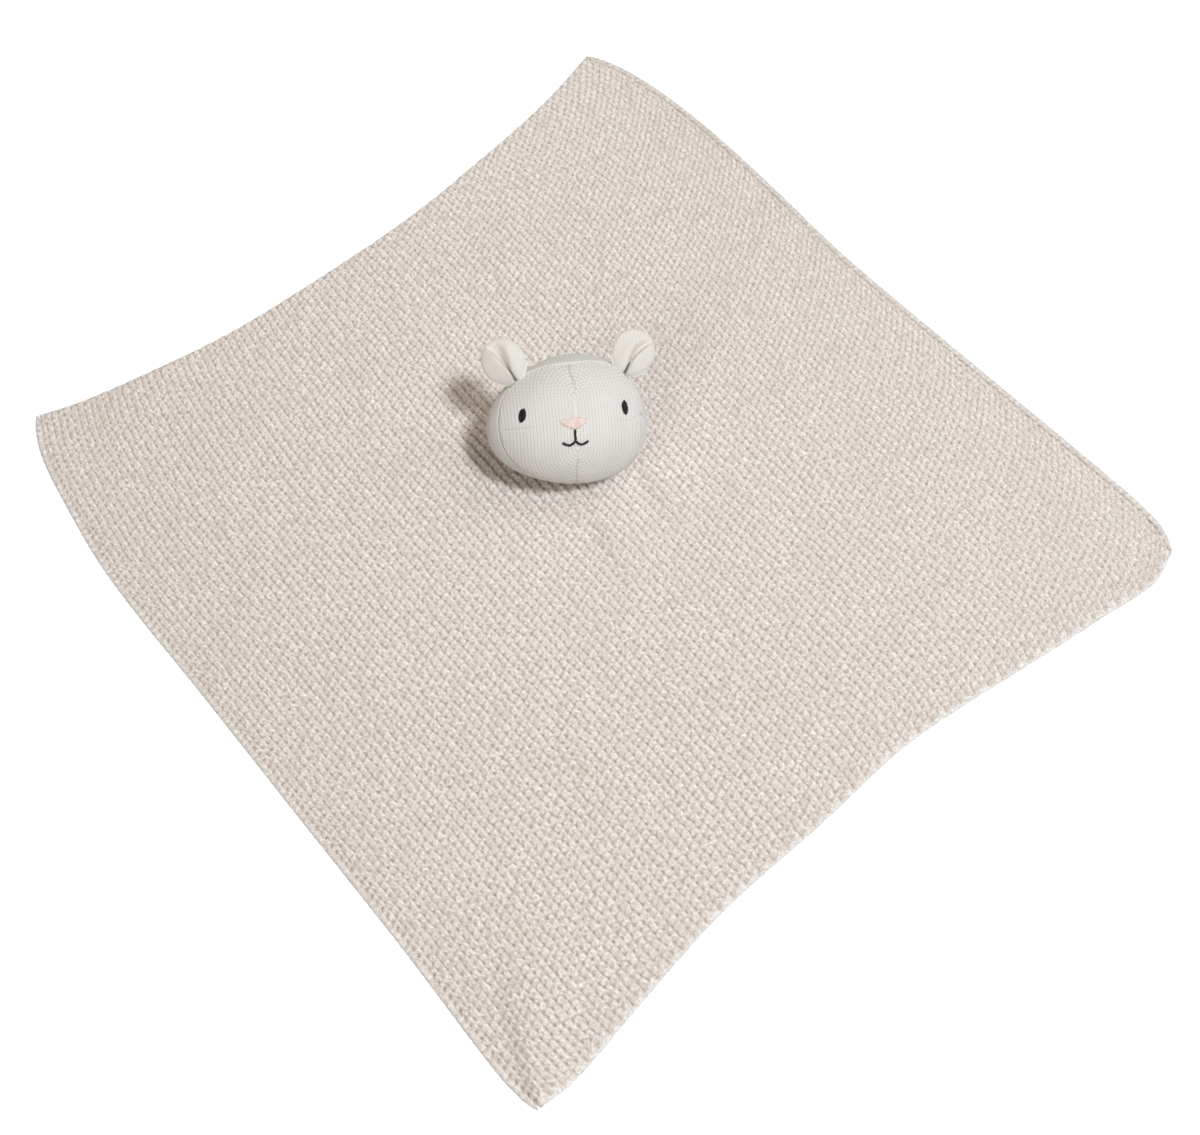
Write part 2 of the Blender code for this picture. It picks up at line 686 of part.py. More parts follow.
def make_head(cream, filling, thread, black, pink):
    """The stuffed head, carried by an empty at the neck whose x axis it nods about."""
    nod = Matrix.Rotation(math.radians(NOD_AXIS_YAW), 4, "Z")
    nod.translation = NECK
    pivot = add_pivot("head_pivot", nod)
    lie = columns(RIGHT, UP, FORWARD, NECK + NECK_TO_HEAD)
    middle = add_pivot("head_middle", nod.inverted() @ lie, pivot)
    make_shell("face_panel", True, FACE_RINGS, cream, middle)
    make_shell("back_panel", False, BACK_RINGS, cream, middle)
    make_stuffing(filling, middle)
    make_seam_thread(thread, middle)
    make_eye("eye_left", -1, black, middle)
    make_eye("eye_right", 1, black, middle)
    make_nose(pink, middle)
    make_mouth(black, middle)
    for side, hand in (("left", -1), ("right", 1)):
        root, across, outward, forward = ear_root(hand)
        hinge = add_pivot(f"ear_{side}_hinge", columns(across, outward, forward, root), middle)
        make_ear_layer(f"ear_{side}_front", True, cream, hinge)
        make_ear_layer(f"ear_{side}_back", False, cream, hinge)


def make_neck_knot(finish):
    """The bundle of stitches that ties the head to the drawn-up cloth."""
    mesh = bpy.data.meshes.new("neck_stitches")
    work = bmesh.new()
    bmesh.ops.create_uvsphere(
        work, u_segments=KNOT_SEGMENTS, v_segments=KNOT_RINGS, radius=KNOT_RADIUS
    )
    work.to_mesh(mesh)
    work.free()
    mesh.shade_smooth()
    mesh.materials.append(finish)
    knot = bpy.data.objects.new("neck_stitches", mesh)
    knot.location = NECK
    bpy.context.collection.objects.link(knot)


def main():
    clear_scene()
    beige = material("beige_knit", (0.67, 0.60, 0.55), 0.95)
    cream = material("cream_jersey", (0.78, 0.76, 0.71), 0.9)
    filling = material("white_filling", (0.85, 0.85, 0.83), 1.0)
    thread = material("cream_thread", (0.74, 0.71, 0.65), 0.8)
    black = material("black_thread", (0.012, 0.013, 0.014), 0.6)
    pink = material("pink_thread", (0.80, 0.56, 0.54), 0.6)
    make_cloth(beige)
    make_band("edge_band_left", False, beige)
    make_band("edge_band_right", True, beige)
    make_neck_knot(thread)
    make_head(cream, filling, thread, black, pink)


main()
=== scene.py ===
"""Looks of the knitted comfort blanket: moss stitch cloth, jersey head and ears, embroidered face.

Metres, +Z up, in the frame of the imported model. The cloth's outline and folds, and the head's
shape and lie, are the same design as in the part's source, with the knit and sewing added.
"""

import json
import math

import bpy
import numpy as np
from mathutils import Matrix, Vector


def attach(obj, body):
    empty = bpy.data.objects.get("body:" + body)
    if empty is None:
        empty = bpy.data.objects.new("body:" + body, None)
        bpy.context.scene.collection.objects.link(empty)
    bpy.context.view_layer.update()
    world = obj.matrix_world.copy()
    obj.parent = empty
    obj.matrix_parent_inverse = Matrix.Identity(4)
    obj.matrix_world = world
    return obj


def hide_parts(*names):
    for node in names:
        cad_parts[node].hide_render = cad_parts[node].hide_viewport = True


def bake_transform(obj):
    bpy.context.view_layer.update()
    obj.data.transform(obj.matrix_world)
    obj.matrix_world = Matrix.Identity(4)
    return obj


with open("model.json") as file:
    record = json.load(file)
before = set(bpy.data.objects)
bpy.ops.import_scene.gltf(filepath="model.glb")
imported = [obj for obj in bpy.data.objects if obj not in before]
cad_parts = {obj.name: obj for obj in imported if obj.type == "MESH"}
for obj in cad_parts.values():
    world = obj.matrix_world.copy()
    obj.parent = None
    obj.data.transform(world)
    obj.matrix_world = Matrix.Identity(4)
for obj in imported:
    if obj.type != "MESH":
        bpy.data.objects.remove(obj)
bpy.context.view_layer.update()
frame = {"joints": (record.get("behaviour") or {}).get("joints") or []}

SEED = 7
BAKE_MAP = "OFBake"
JOINTS = {joint["name"]: joint for joint in frame["joints"]}

# Cloth: its cut, its outline and its folds
CLOTH_SIDE = 0.380
CLOTH_THICK = 0.0030
BAND_WIDTH = 0.0026
BAND_HEIGHT = 0.0024
OUTLINE_STEPS = 36
LEFT_CORNER_SHARES = (-0.702, 0.042)
BACK_CORNER_SHARES = (-0.057, 0.700)
RIGHT_CORNER_SHARES = (0.714, -0.026)
FRONT_CORNER_SHARES = (0.011, -0.712)
LEFT_TO_BACK_SHARES = (
    (0.0, 0.0), (0.06, -0.021), (0.14, -0.039), (0.28, -0.062), (0.45, -0.069),
    (0.60, -0.067), (0.74, -0.052), (0.88, -0.031), (1.0, 0.0),
)
BACK_TO_RIGHT_SHARES = (
    (0.0, 0.0), (0.05, 0.018), (0.12, 0.029), (0.22, 0.032), (0.34, 0.026),
    (0.47, 0.017), (0.70, 0.017), (0.90, 0.018), (0.965, 0.014), (1.0, 0.0),
)
RIGHT_TO_FRONT_SHARES = (
    (0.0, 0.0), (0.05, 0.015), (0.13, 0.006), (0.24, -0.009), (0.36, -0.026),
    (0.44, -0.033), (0.56, -0.029), (0.72, -0.027), (0.85, -0.011), (0.95, 0.003),
    (1.0, 0.0),
)
FRONT_TO_LEFT_SHARES = (
    (0.0, 0.0), (0.05, 0.007), (0.20, 0.011), (0.38, 0.019), (0.56, 0.027),
    (0.76, 0.036), (0.88, 0.028), (0.95, 0.018), (1.0, 0.0),
)
TUFT_RADIUS = 0.0110
KNOT_RADIUS = 0.0016
GAP = 0.0003
PRESS_DEPTH = 0.0006         # the head presses the loops down in a ring round the neck
PRESS_RING = 0.0220
FOLD_RISE = 0.0018
FOLD_HALF_WIDTH = 0.0100
FOLD_REACH = 0.26315789 * CLOTH_SIDE
# Each fold: its direction in degrees, then as shares of the reach, seen from the neck, where it
# starts and ends and how far it lies to the left, then shares of the half width to its right
# and left, and of the rise
FOLD_SHARES = (
    (-55.0, -0.02, 0.68, 0.040, 1.10, 2.40, 1.65),
    (-55.0, -0.08, 0.55, 0.365, 1.00, 2.20, 1.45),
    (-90.0, 0.65, 1.50, -0.055, 0.80, 1.20, 0.35),
    (-90.0, 0.65, 1.45, 0.120, 0.80, 1.20, 0.30),
    (-68.0, 1.90, 2.75, -0.870, 0.90, 2.60, 2.20),
    (125.0, 0.90, 1.65, -0.300, 2.00, 0.80, 0.70),
    (-68.0, -1.20, -0.50, -1.950, 1.20, 2.50, 0.60),
)

# Moss stitch: columns of small loops that run from the left-to-back to the right-to-front side
COLUMNS = 102
LOOPS = 114
SIDE_CROWDING = 0.30         # the columns stand closer together by this share at both bands
CELLS_ACROSS = 5             # mesh cells across one column
CELLS_ALONG = 4              # mesh cells along one loop
LOOP_DEPTH = 0.0023          # from a loop's crown to the gap beside it
LOOP_WANDER = 0.12           # uneven knitting, as a share of a loop
YARN_SHARE = 0.25            # half the yarn's width as a share of a column
EDGE_ROUND = 0.0022          # the cloth's edge rounds off over this width
END_RIB_LENGTH = 0.0060      # columns join in pairs this near their lower end
END_HEM = 0.0013             # and end in a smooth hem of this width
CROWN_RISE = 0.0002          # of the loops' crowns over the cloth's thickness
UNDER_DEPTH = 0.0006         # of the gaps in the underside
RIM_SHARES = (0.45, 0.3)     # heights of both faces at the rim, in thicknesses
PIT_SHARES = (0.22, 0.26)    # place and width of the pits beside the bands, in columns
BAND_SWELL = 0.0002          # of a band beyond its solid's half width
BAND_LIFT = 0.0001
BAND_RIB = 0.07              # rise of a band's ribs, as a share of its half width
BAND_GAP = 0.22              # shade between the ribs
# One loop seen from above, as shares of a column across, of a loop along, and of its depth:
# a short leg rises to the crown, and a long leg runs on along the column
LOOP_PATH = (
    (-0.42, 0.20, 0.25), (-0.37, -0.02, 0.62), (-0.17, -0.22, 0.90), (0.06, -0.28, 1.00),
    (0.17, -0.08, 1.00), (0.15, 0.18, 0.88), (0.12, 0.46, 0.55),
)
# Painted shade in a loop's two holes: across, along, half widths across and along, and depth
LOOP_HOLES = ((-0.13, 0.17, 0.13, 0.15, 0.50), (0.45, 0.22, 0.15, 0.42, 0.95))

# Head, as it lies
HEAD_HALF_WIDTH = 0.0363
HEAD_HALF_HEIGHT = 0.0290
HEAD_HALF_DEPTH = 0.0260
SEAM_FORWARD = 0.0145
SEAM_EAR_DIP = 0.0090
SEAM_CHIN_DIP = 0.0065
HEAD_YAW = 19.6
HEAD_TILT = 54.3
HEAD_ROLL = -8.3
NECK_BACK_ANGLE = 20.0
EAR_RIGHT_TURN = 44.0
EAR_LEFT_TURN = 133.0
CHEEK_SHARE = 0.042
CHEEK_TURN = 73.0
HEAD_SWELLS = 3
SEAM_DIP_SPAN = 22.0
CHIN_DIP_SPAN = 50.0
CHIN_TURN = 270.0

# Jersey of the head and ears
STITCH_WIDTH = 0.00143
STITCH_HEIGHT = 0.00118
STITCH_RISE = 0.00013        # of a stitch's legs above the grooves between them
STITCH_SLANT = 0.70          # rows that a leg climbs from the middle of its V
SIDE_PANEL = 0.6             # the back's knit lies flat this near its sides, as a share
SIDE_PANEL_FADE = 0.3
UPPER_DART_END = 0.0141
LOWER_DART_END = -0.0114
DART_SOFTNESS = 0.0026
DART_LINE = 0.00026          # half width of the painted shade line in a dart
PUCKER_PLACE = 0.0016        # of the low swell beside a dart
PUCKER_WIDTH = 0.0011
# Half width of the painted shade along the seam
SEAM_LINE = 0.00035
WELT_PLACE = 0.0012          # of the low welt beside the seam at the crown
WELT_WIDTH = 0.0008
# Radius of the painted shade dots at the nose's corners
NOSE_TIP = 0.0003
FACE_RINGS = 165
BACK_RINGS = 130
SEAM_STITCHES = 150
SEAM_THREAD_INSET = 0.0011
SEAM_THREAD_RADIUS = 0.00030
SEAM_THREAD_SWAY = 0.00022
FILLING_INSET = 0.0030
FILLING_LUMPS = 0.0004
THREAD_TWIST = 0.0011        # length of one turn of a thread's plies
PLIES = 2
PLY_RISE = 0.07              # of a ply, as a share of the thread's radius
KNOT_THREAD = 0.0005         # radius of the neck's thread

# Camera, fitted to the photograph's outline
PHOTO_WIDTH = 1200
FOCAL_PIXELS = 1300
SENSOR = 36.0
CAMERA_AZIMUTH = 4.7
CAMERA_ELEVATION = 66.3
CAMERA_DISTANCE_SHARE = 1.5614
CAMERA_TARGET_SHARES = (0.0270, -0.1050)

# Light and floor
LAMP_DISTANCE = 3.0
WORLD_LIGHT = (0.035, 0.027, 0.019, 1.0)
FLOOR_SIDES = 40             # half the floor's width, in sides of the cloth
FLOOR_GLOW = 0.4             # of the floor for the camera by the cloth; it is white far away
FLOOR_FAR = (0.6, 2.5)       # the glow rises from the first to the second distance


def srgb(red, green, blue):
    """Linear colour of a colour given as it looks, from 0 to 255."""
    channels = (c / 255 for c in (red, green, blue))
    return tuple(c / 12.92 if c <= 0.04045 else ((c + 0.055) / 1.055) ** 2.4 for c in channels)


def smooth_value(points, x):
    """Smooth curve through points (place, value), read at the places x."""
    places, values = (np.array(column, float) for column in zip(*points))
    low = np.maximum(np.arange(len(places)) - 1, 0)
    high = np.minimum(np.arange(len(places)) + 1, len(places) - 1)
    slopes = (values[high] - values[low]) / (places[high] - places[low])
    i = np.clip(np.searchsorted(places, x, side="left") - 1, 0, len(places) - 2)
    span = places[i + 1] - places[i]
    t = (x - places[i]) / span
    return (
        (2 * t**3 - 3 * t**2 + 1) * values[i]
        + (t**3 - 2 * t**2 + t) * span * slopes[i]
        + (3 * t**2 - 2 * t**3) * values[i + 1]
        + (t**3 - t**2) * span * slopes[i + 1]
    )


def hump(x):
    """One at zero, falling smoothly to nothing at plus and minus one."""
    return np.where(np.abs(x) < 1, 0.5 + 0.5 * np.cos(np.pi * np.clip(x, -1, 1)), 0.0)


def bell(x):
    """One at nought, falling away smoothly on both sides."""
    return np.exp(-(x**2))


def smooth_step(x):
    t = np.clip(x, 0.0, 1.0)
    return t * t * (3 - 2 * t)


def side_point(start, end, shares, t):
    """Points at shares t of a bowed side; outward is to the left of its direction."""
    run = end - start
    outward = np.array((-run[1], run[0]))
    return start + t[..., None] * run + smooth_value(shares, t)[..., None] * outward


def patch_point(along, across):
    """Points of the cloth: along from its left-to-back side, across from its left."""
    left, back, right, front = (
        np.array(shares) * CLOTH_SIDE for shares in
        (LEFT_CORNER_SHARES, BACK_CORNER_SHARES, RIGHT_CORNER_SHARES, FRONT_CORNER_SHARES)
    )
    lower = side_point(front, left, FRONT_TO_LEFT_SHARES, 1 - along)
    upper = side_point(back, right, BACK_TO_RIGHT_SHARES, along)
    near = side_point(left, back, LEFT_TO_BACK_SHARES, across)
    far = side_point(right, front, RIGHT_TO_FRONT_SHARES, 1 - across)
    a, s = along[..., None], across[..., None]
    blend = left * (1 - a) * (1 - s) + back * (1 - a) * s + front * a * (1 - s) + right * a * s
    return lower * (1 - s) + upper * s + near * (1 - a) + far * a - blend


def outline_middle():
    """Middle of the box round the cloth's outline."""
    t = np.linspace(0, 1, OUTLINE_STEPS + 1)
    ends = [(t, t * 0), (t, t * 0 + 1), (t * 0, t), (t * 0 + 1, t)]
    rim = np.concatenate([patch_point(*end) for end in ends])
    return (rim.min(0) + rim.max(0)) / 2


MIDDLE = outline_middle()
NECK = np.array(JOINTS["head_nod"]["pos_m"], float)
TUFT_RISE = NECK[2] - KNOT_RADIUS - GAP - CLOTH_THICK


def cloth_point(along, across):
    return patch_point(along, across) - MIDDLE


def cloth_lift(points):
    """How far the cloth is drawn up off the ground at flat points."""
    away = points - NECK[:2]
    lift = TUFT_RISE * hump(np.hypot(away[..., 0], away[..., 1]) / TUFT_RADIUS)
    for angle, start, end, aside, wide_right, wide_left, rise in FOLD_SHARES:
        way = np.array((math.cos(math.radians(angle)), math.sin(math.radians(angle))))
        along = away @ way / FOLD_REACH
        beside = away @ np.array((-way[1], way[0])) - aside * FOLD_REACH
        beside = beside / (FOLD_HALF_WIDTH * np.where(beside > 0, wide_left, wide_right))
        middle, half = (start + end) / 2, (end - start) / 2
        lift = lift + FOLD_RISE * rise * hump((along - middle) / half) * hump(beside)
    return lift


def head_axes():
    """The head's own right, up and forward directions as it lies."""
    yaw, tilt, roll = (math.radians(a) for a in (HEAD_YAW, HEAD_TILT, HEAD_ROLL))
    forward = Vector((
        math.sin(yaw) * math.cos(tilt), -math.cos(yaw) * math.cos(tilt), math.sin(tilt)
    ))
    level = Vector((math.cos(yaw), math.sin(yaw), 0))
    right = level * math.cos(roll) + forward.cross(level) * math.sin(roll)
    return np.array((right, forward.cross(right), forward))


HEAD_AXES = head_axes()
HEAD_HALVES = np.array((HEAD_HALF_WIDTH, HEAD_HALF_HEIGHT, HEAD_HALF_DEPTH))


def head_middle():
    """The head's middle: it stands on the neck's knot, which the nod joint passes through."""
    back = math.radians(NECK_BACK_ANGLE)
    way = np.array((0, -math.cos(back), -math.sin(back)))
    surface = 1 / np.sqrt(np.sum((way / HEAD_HALVES) ** 2))
    return NECK - way * (surface + KNOT_RADIUS + GAP) @ HEAD_AXES


HEAD_MIDDLE = head_middle()


def head_to_world(points):
    return points @ HEAD_AXES + HEAD_MIDDLE


def add_object(name, data):
    """A new object in the scene."""
    item = bpy.data.objects.new(name, data)
    bpy.context.scene.collection.objects.link(item)
    return item


def direction(azimuth, elevation):
    """Unit direction away from the cloth's middle: azimuth nought is the front."""
    a, e = math.radians(azimuth), math.radians(elevation)
    return Vector((math.sin(a) * math.cos(e), -math.cos(a) * math.cos(e), math.sin(e)))


def new_piece(name, vertices, faces, material):
    """A mesh object from vertices and faces, in one material."""
    mesh = bpy.data.meshes.new(name)
    mesh.from_pydata(np.asarray(vertices, float).tolist(), [], [tuple(f) for f in faces])
    mesh.validate()
    mesh.shade_smooth()
    mesh.materials.append(material)
    piece = add_object(name, mesh)
    return piece


def set_uv(piece, name, coordinates):
    """A UV map from one pair of values per vertex."""
    layer = piece.data.uv_layers.new(name=name)
    corners = np.zeros(len(piece.data.loops), np.int32)
    piece.data.loops.foreach_get("vertex_index", corners)
    layer.data.foreach_set("uv", np.asarray(coordinates, np.float32)[corners].ravel())


def set_value(piece, name, values):
    """A value per vertex that the piece's material reads."""
    attribute = piece.data.attributes.new(name, "FLOAT", "POINT")
    attribute.data.foreach_set("value", np.asarray(values, np.float32))


def grid_faces(rows, columns, start=0):
    """Quads over a grid of rows by columns of vertices."""
    i, j = np.meshgrid(np.arange(rows - 1), np.arange(columns - 1), indexing="ij")
    a = (start + i * columns + j).ravel()
    return np.stack([a, a + columns, a + columns + 1, a + 1], 1)


def ring_faces(rings, sides, start=0):
    """Quads between rings of equal size, going round each ring."""
    i, j = np.meshgrid(np.arange(rings - 1), np.arange(sides), indexing="ij")
    k, n = (j + 1) % sides, i + 1
    quads = np.stack([i * sides + j, n * sides + j, n * sides + k, i * sides + k], -1)
    return quads.reshape(-1, 4) + start


class Nodes:
    """Short calls for building a material's node tree."""

    def __init__(self, name):
        self.material = bpy.data.materials.new(name)
        self.material.use_nodes = True
        self.tree = self.material.node_tree
        self.shader = self.tree.nodes["Principled BSDF"]

    def add(self, kind, **settings):
        node = self.tree.nodes.new(kind)
        for key, value in settings.items():
            setattr(node, key, value)
        return node

    def put(self, socket, value):
        if isinstance(value, bpy.types.NodeSocket):
            self.tree.links.new(value, socket)
        else:
            socket.default_value = value

    def math(self, operation, a, b=0.0, c=0.0):
        node = self.add("ShaderNodeMath", operation=operation)
        for socket, value in zip(node.inputs, (a, b, c)):
            self.put(socket, value)
        return node.outputs[0]

    def mix(self, factor, a, b):
        node = self.add("ShaderNodeMix", data_type="RGBA")
        self.put(node.inputs["Factor"], factor)
        self.put(node.inputs[6], a if isinstance(a, bpy.types.NodeSocket) else (*a, 1.0))
        self.put(node.inputs[7], b if isinstance(b, bpy.types.NodeSocket) else (*b, 1.0))
        return node.outputs[2]

    def value(self, name):
        return self.add("ShaderNodeAttribute", attribute_name=name).outputs["Fac"]

    def uv(self, name):
        split = self.add("ShaderNodeSeparateXYZ")
        self.put(split.inputs[0], self.add("ShaderNodeUVMap", uv_map=name).outputs["UV"])
        return split.outputs[0], split.outputs[1]

    def place(self):
        return self.add("ShaderNodeTexCoord").outputs["Object"]

    def noise(self, vector, scale, detail=2.0, roughness=0.5):
        node = self.add("ShaderNodeTexNoise")
        self.put(node.inputs["Vector"], vector)
        node.inputs["Scale"].default_value = scale
        node.inputs["Detail"].default_value = detail
        node.inputs["Roughness"].default_value = roughness
        return node.outputs["Fac"]

    def ramp(self, factor, low, high):
        """From nought at low to one at high."""
        node = self.add("ShaderNodeMapRange", interpolation_type="SMOOTHSTEP")
        for socket, value in zip(node.inputs, (factor, low, high)):
            self.put(socket, value)
        return node.outputs[0]

    def bump(self, height, distance, strength=1.0):
        node = self.add("ShaderNodeBump")
        node.inputs["Strength"].default_value = strength
        node.inputs["Distance"].default_value = distance
        self.put(node.inputs["Height"], height)
        self.put(self.shader.inputs["Normal"], node.outputs[0])

    def finish(self, colour, roughness, sheen=0.0):
        self.put(self.shader.inputs["Base Color"], colour)
        self.shader.inputs["Roughness"].default_value = roughness
        self.shader.inputs["Specular IOR Level"].default_value = 0.25
        self.shader.inputs["Sheen Weight"].default_value = sheen
        self.shader.inputs["Sheen Roughness"].default_value = 0.5
        return self.material


def knit_material():
    """Thick melange yarn of loose fibres, with paler crowns; the hollows between the loops are
    painted a warm dark as shade.
    """
    n = Nodes("moss_knit")
    place = n.place()
    fibres = n.noise(place, 1300, 3, 0.6)
    strands = n.noise(place, 560)
    flecks = n.noise(place, 1000, 2, 0.6)
    cloudy = n.noise(place, 26)
    yarn = n.mix(n.ramp(flecks, 0.38, 0.62), srgb(222, 215, 210), srgb(253, 252, 253))
    yarn = n.mix(n.math("MULTIPLY", n.ramp(cloudy, 0.4, 0.7), 0.12), yarn, srgb(226, 214, 204))
    yarn = n.mix(n.math("MULTIPLY", n.ramp(strands, 0.5, 0.75), 0.35), yarn, srgb(196, 179, 164))
    # Painted shade: the hollows between the loops are darkened to a warm tan
    colour = n.mix(n.math("MULTIPLY", n.value("painted_shade"), 0.95), yarn, srgb(164, 139, 118))
    n.bump(n.math("MULTIPLY_ADD", fibres, 0.5, strands), 0.0004, 0.8)
    return n.finish(colour, 0.92, 0.2)


def jersey_height(column, row):
    """Height of the jersey's V stitches: nought between the columns, one on a leg."""
    aside = np.abs(2 * (column - np.floor(column)) - 1)
    leg = np.sin(np.pi * (0.12 + 0.88 * aside))
    strand = 0.5 + 0.5 * np.cos(2 * np.pi * (row - STITCH_SLANT * aside))
    return leg * (0.4 + 0.6 * strand)


def jersey_material(name, light, shade):
    """Fine jersey: columns of small V stitches, read from the piece's own knit map, with painted
    shade in the hollows between them.
    """
    n = Nodes(name)
    column, row = n.uv("knit")
    aside = n.math("ABSOLUTE", n.math("MULTIPLY_ADD", n.math("FRACT", column), 2.0, -1.0))
    leg = n.math("SINE", n.math("MULTIPLY_ADD", aside, 0.88 * math.pi, 0.12 * math.pi))
    climb = n.math("MULTIPLY_ADD", aside, -STITCH_SLANT, row)
    strand = n.math("COSINE", n.math("MULTIPLY", climb, 2 * math.pi))
    stitch = n.math("MULTIPLY", leg, n.math("MULTIPLY_ADD", strand, 0.3, 0.7))
    fibres = n.noise(n.place(), 1500)
    cloudy = n.noise(n.place(), 60)
    base = n.mix(n.ramp(cloudy, 0.35, 0.7), light, tuple(0.95 * x for x in light))
    # Painted shade: the hollows between the stitches' legs are darkened towards the shade colour
    hollow = n.math("MULTIPLY", n.math("POWER", n.math("SUBTRACT", 1.0, stitch), 2.0), 0.56)
    base = n.mix(hollow, base, shade)
    # Painted shade, a warm tan, in the seam, the darts, the nose's corners and the ears' creases
    colour = n.mix(n.value("painted_shade"), base, srgb(150, 122, 88))
    n.bump(n.math("MULTIPLY_ADD", fibres, 0.4, stitch), 0.00008, 0.8)
    return n.finish(colour, 0.88, 0.2)


def thread_material(name, light, dark, roughness=0.5):
    """Embroidery thread: fine twisted fibres with a slight sheen."""
    n = Nodes(name)
    fibres = n.noise(n.place(), 1800, 3, 0.7)
    flecks = n.noise(n.place(), 500, 1)
    colour = n.mix(n.ramp(flecks, 0.35, 0.65), dark, light)
    n.bump(fibres, 0.00012, 0.8)
    return n.finish(colour, roughness, 0.1)


def filling_material():
    n = Nodes("fibre_filling")
    strands = n.noise(n.place(), 420, 4, 0.7)
    colour = n.mix(n.ramp(strands, 0.3, 0.7), srgb(226, 224, 218), srgb(246, 245, 242))
    n.bump(strands, 0.0008, 0.9)
    return n.finish(colour, 0.95)


def edge_round(along):
    """Rises from nought at the cloth's edge to one inside it, along a quarter circle."""
    t = np.clip(np.minimum(along, 1 - along) * CLOTH_SIDE / EDGE_ROUND, 0, 1)
    return np.sqrt(1 - (1 - t) ** 2)


def column_share(u):
    """Share of the cloth's knitted width where a column place lies: crowded at both sides."""
    x = np.linspace(0, 1, 401)
    crowd = 1 + SIDE_CROWDING * np.abs(2 * x - 1) ** 3
    total = np.concatenate([[0], np.cumsum((crowd[1:] + crowd[:-1]) / 2)])
    return np.interp(u / COLUMNS, total / total[-1], x)


def knit_grid(cells_across, cells_along):
    """A grid over the cloth: shares along and across, and places in columns and loops."""
    band = BAND_WIDTH / CLOTH_SIDE
    u = np.linspace(0, COLUMNS, COLUMNS * cells_across + 1)
    v = np.linspace(0, LOOPS, LOOPS * cells_along + 1)
    across = band + column_share(u) * (1 - 2 * band)
    along, across = np.meshgrid(v / LOOPS, across, indexing="ij")
    vs, us = np.meshgrid(v, u, indexing="ij")
    return along, across, us, vs


def loop_rise(a, b):
    """Height of one loop's yarn at a place in its cell, very low where there is none."""
    rise = np.full(np.shape(a), -4.0)
    for (a0, b0, z0), (a1, b1, z1) in zip(LOOP_PATH[:-1], LOOP_PATH[1:]):
        run = (a1 - a0) ** 2 + (b1 - b0) ** 2
        t = np.clip(((a - a0) * (a1 - a0) + (b - b0) * (b1 - b0)) / run, 0, 1)
        away = np.hypot(a - a0 - t * (a1 - a0), b - b0 - t * (b1 - b0)) / YARN_SHARE
        crown = z0 + t * (z1 - z0)
        round_off = 0.55 * (1 - np.sqrt(np.clip(1 - away**2, 0, 1))) + 1.2 * np.maximum(away - 1, 0)
        rise = np.maximum(rise, crown - round_off)
    return rise


def moss_height(us, vs, rng):
    """Height of the moss stitch, from nought in a hollow between loops to one on a crown, and the
    painted shade of its hollows.
    """
    size, slip, slide = rng.uniform(-1, 1, (3, COLUMNS + 4, LOOPS + 4))
    height = np.zeros(us.shape)
    shade = np.zeros(us.shape)
    home = np.clip(np.floor(us), 0, COLUMNS - 1).astype(int)
    for side in (-1, 0, 1):
        column = home + side
        offset = vs + 0.5 * (column % 2)
        for step in (-1, 0, 1):
            loop = np.floor(offset).astype(int) + step
            i, j = column + 1, np.clip(loop + 1, 0, LOOPS + 3)
            a = us - column - 0.5 + LOOP_WANDER * slip[i, j]
            b = offset - loop - 0.5 + LOOP_WANDER * slide[i, j]
            rise = loop_rise(a, b) * (1 + LOOP_WANDER * size[i, j])
            height = np.maximum(height, rise)
            for a0, b0, wide, long, depth in LOOP_HOLES:
                near = np.exp(-(((a - a0) / wide) ** 2) - ((b - b0) / long) ** 2)
                shade = np.maximum(shade, depth * near)
    height = height * (1 - 0.35 * shade)
    # Painted shade: dark in the holes, and darker the lower the yarn lies
    return height, np.clip(shade + 0.5 * (0.45 - height), 0, 1)


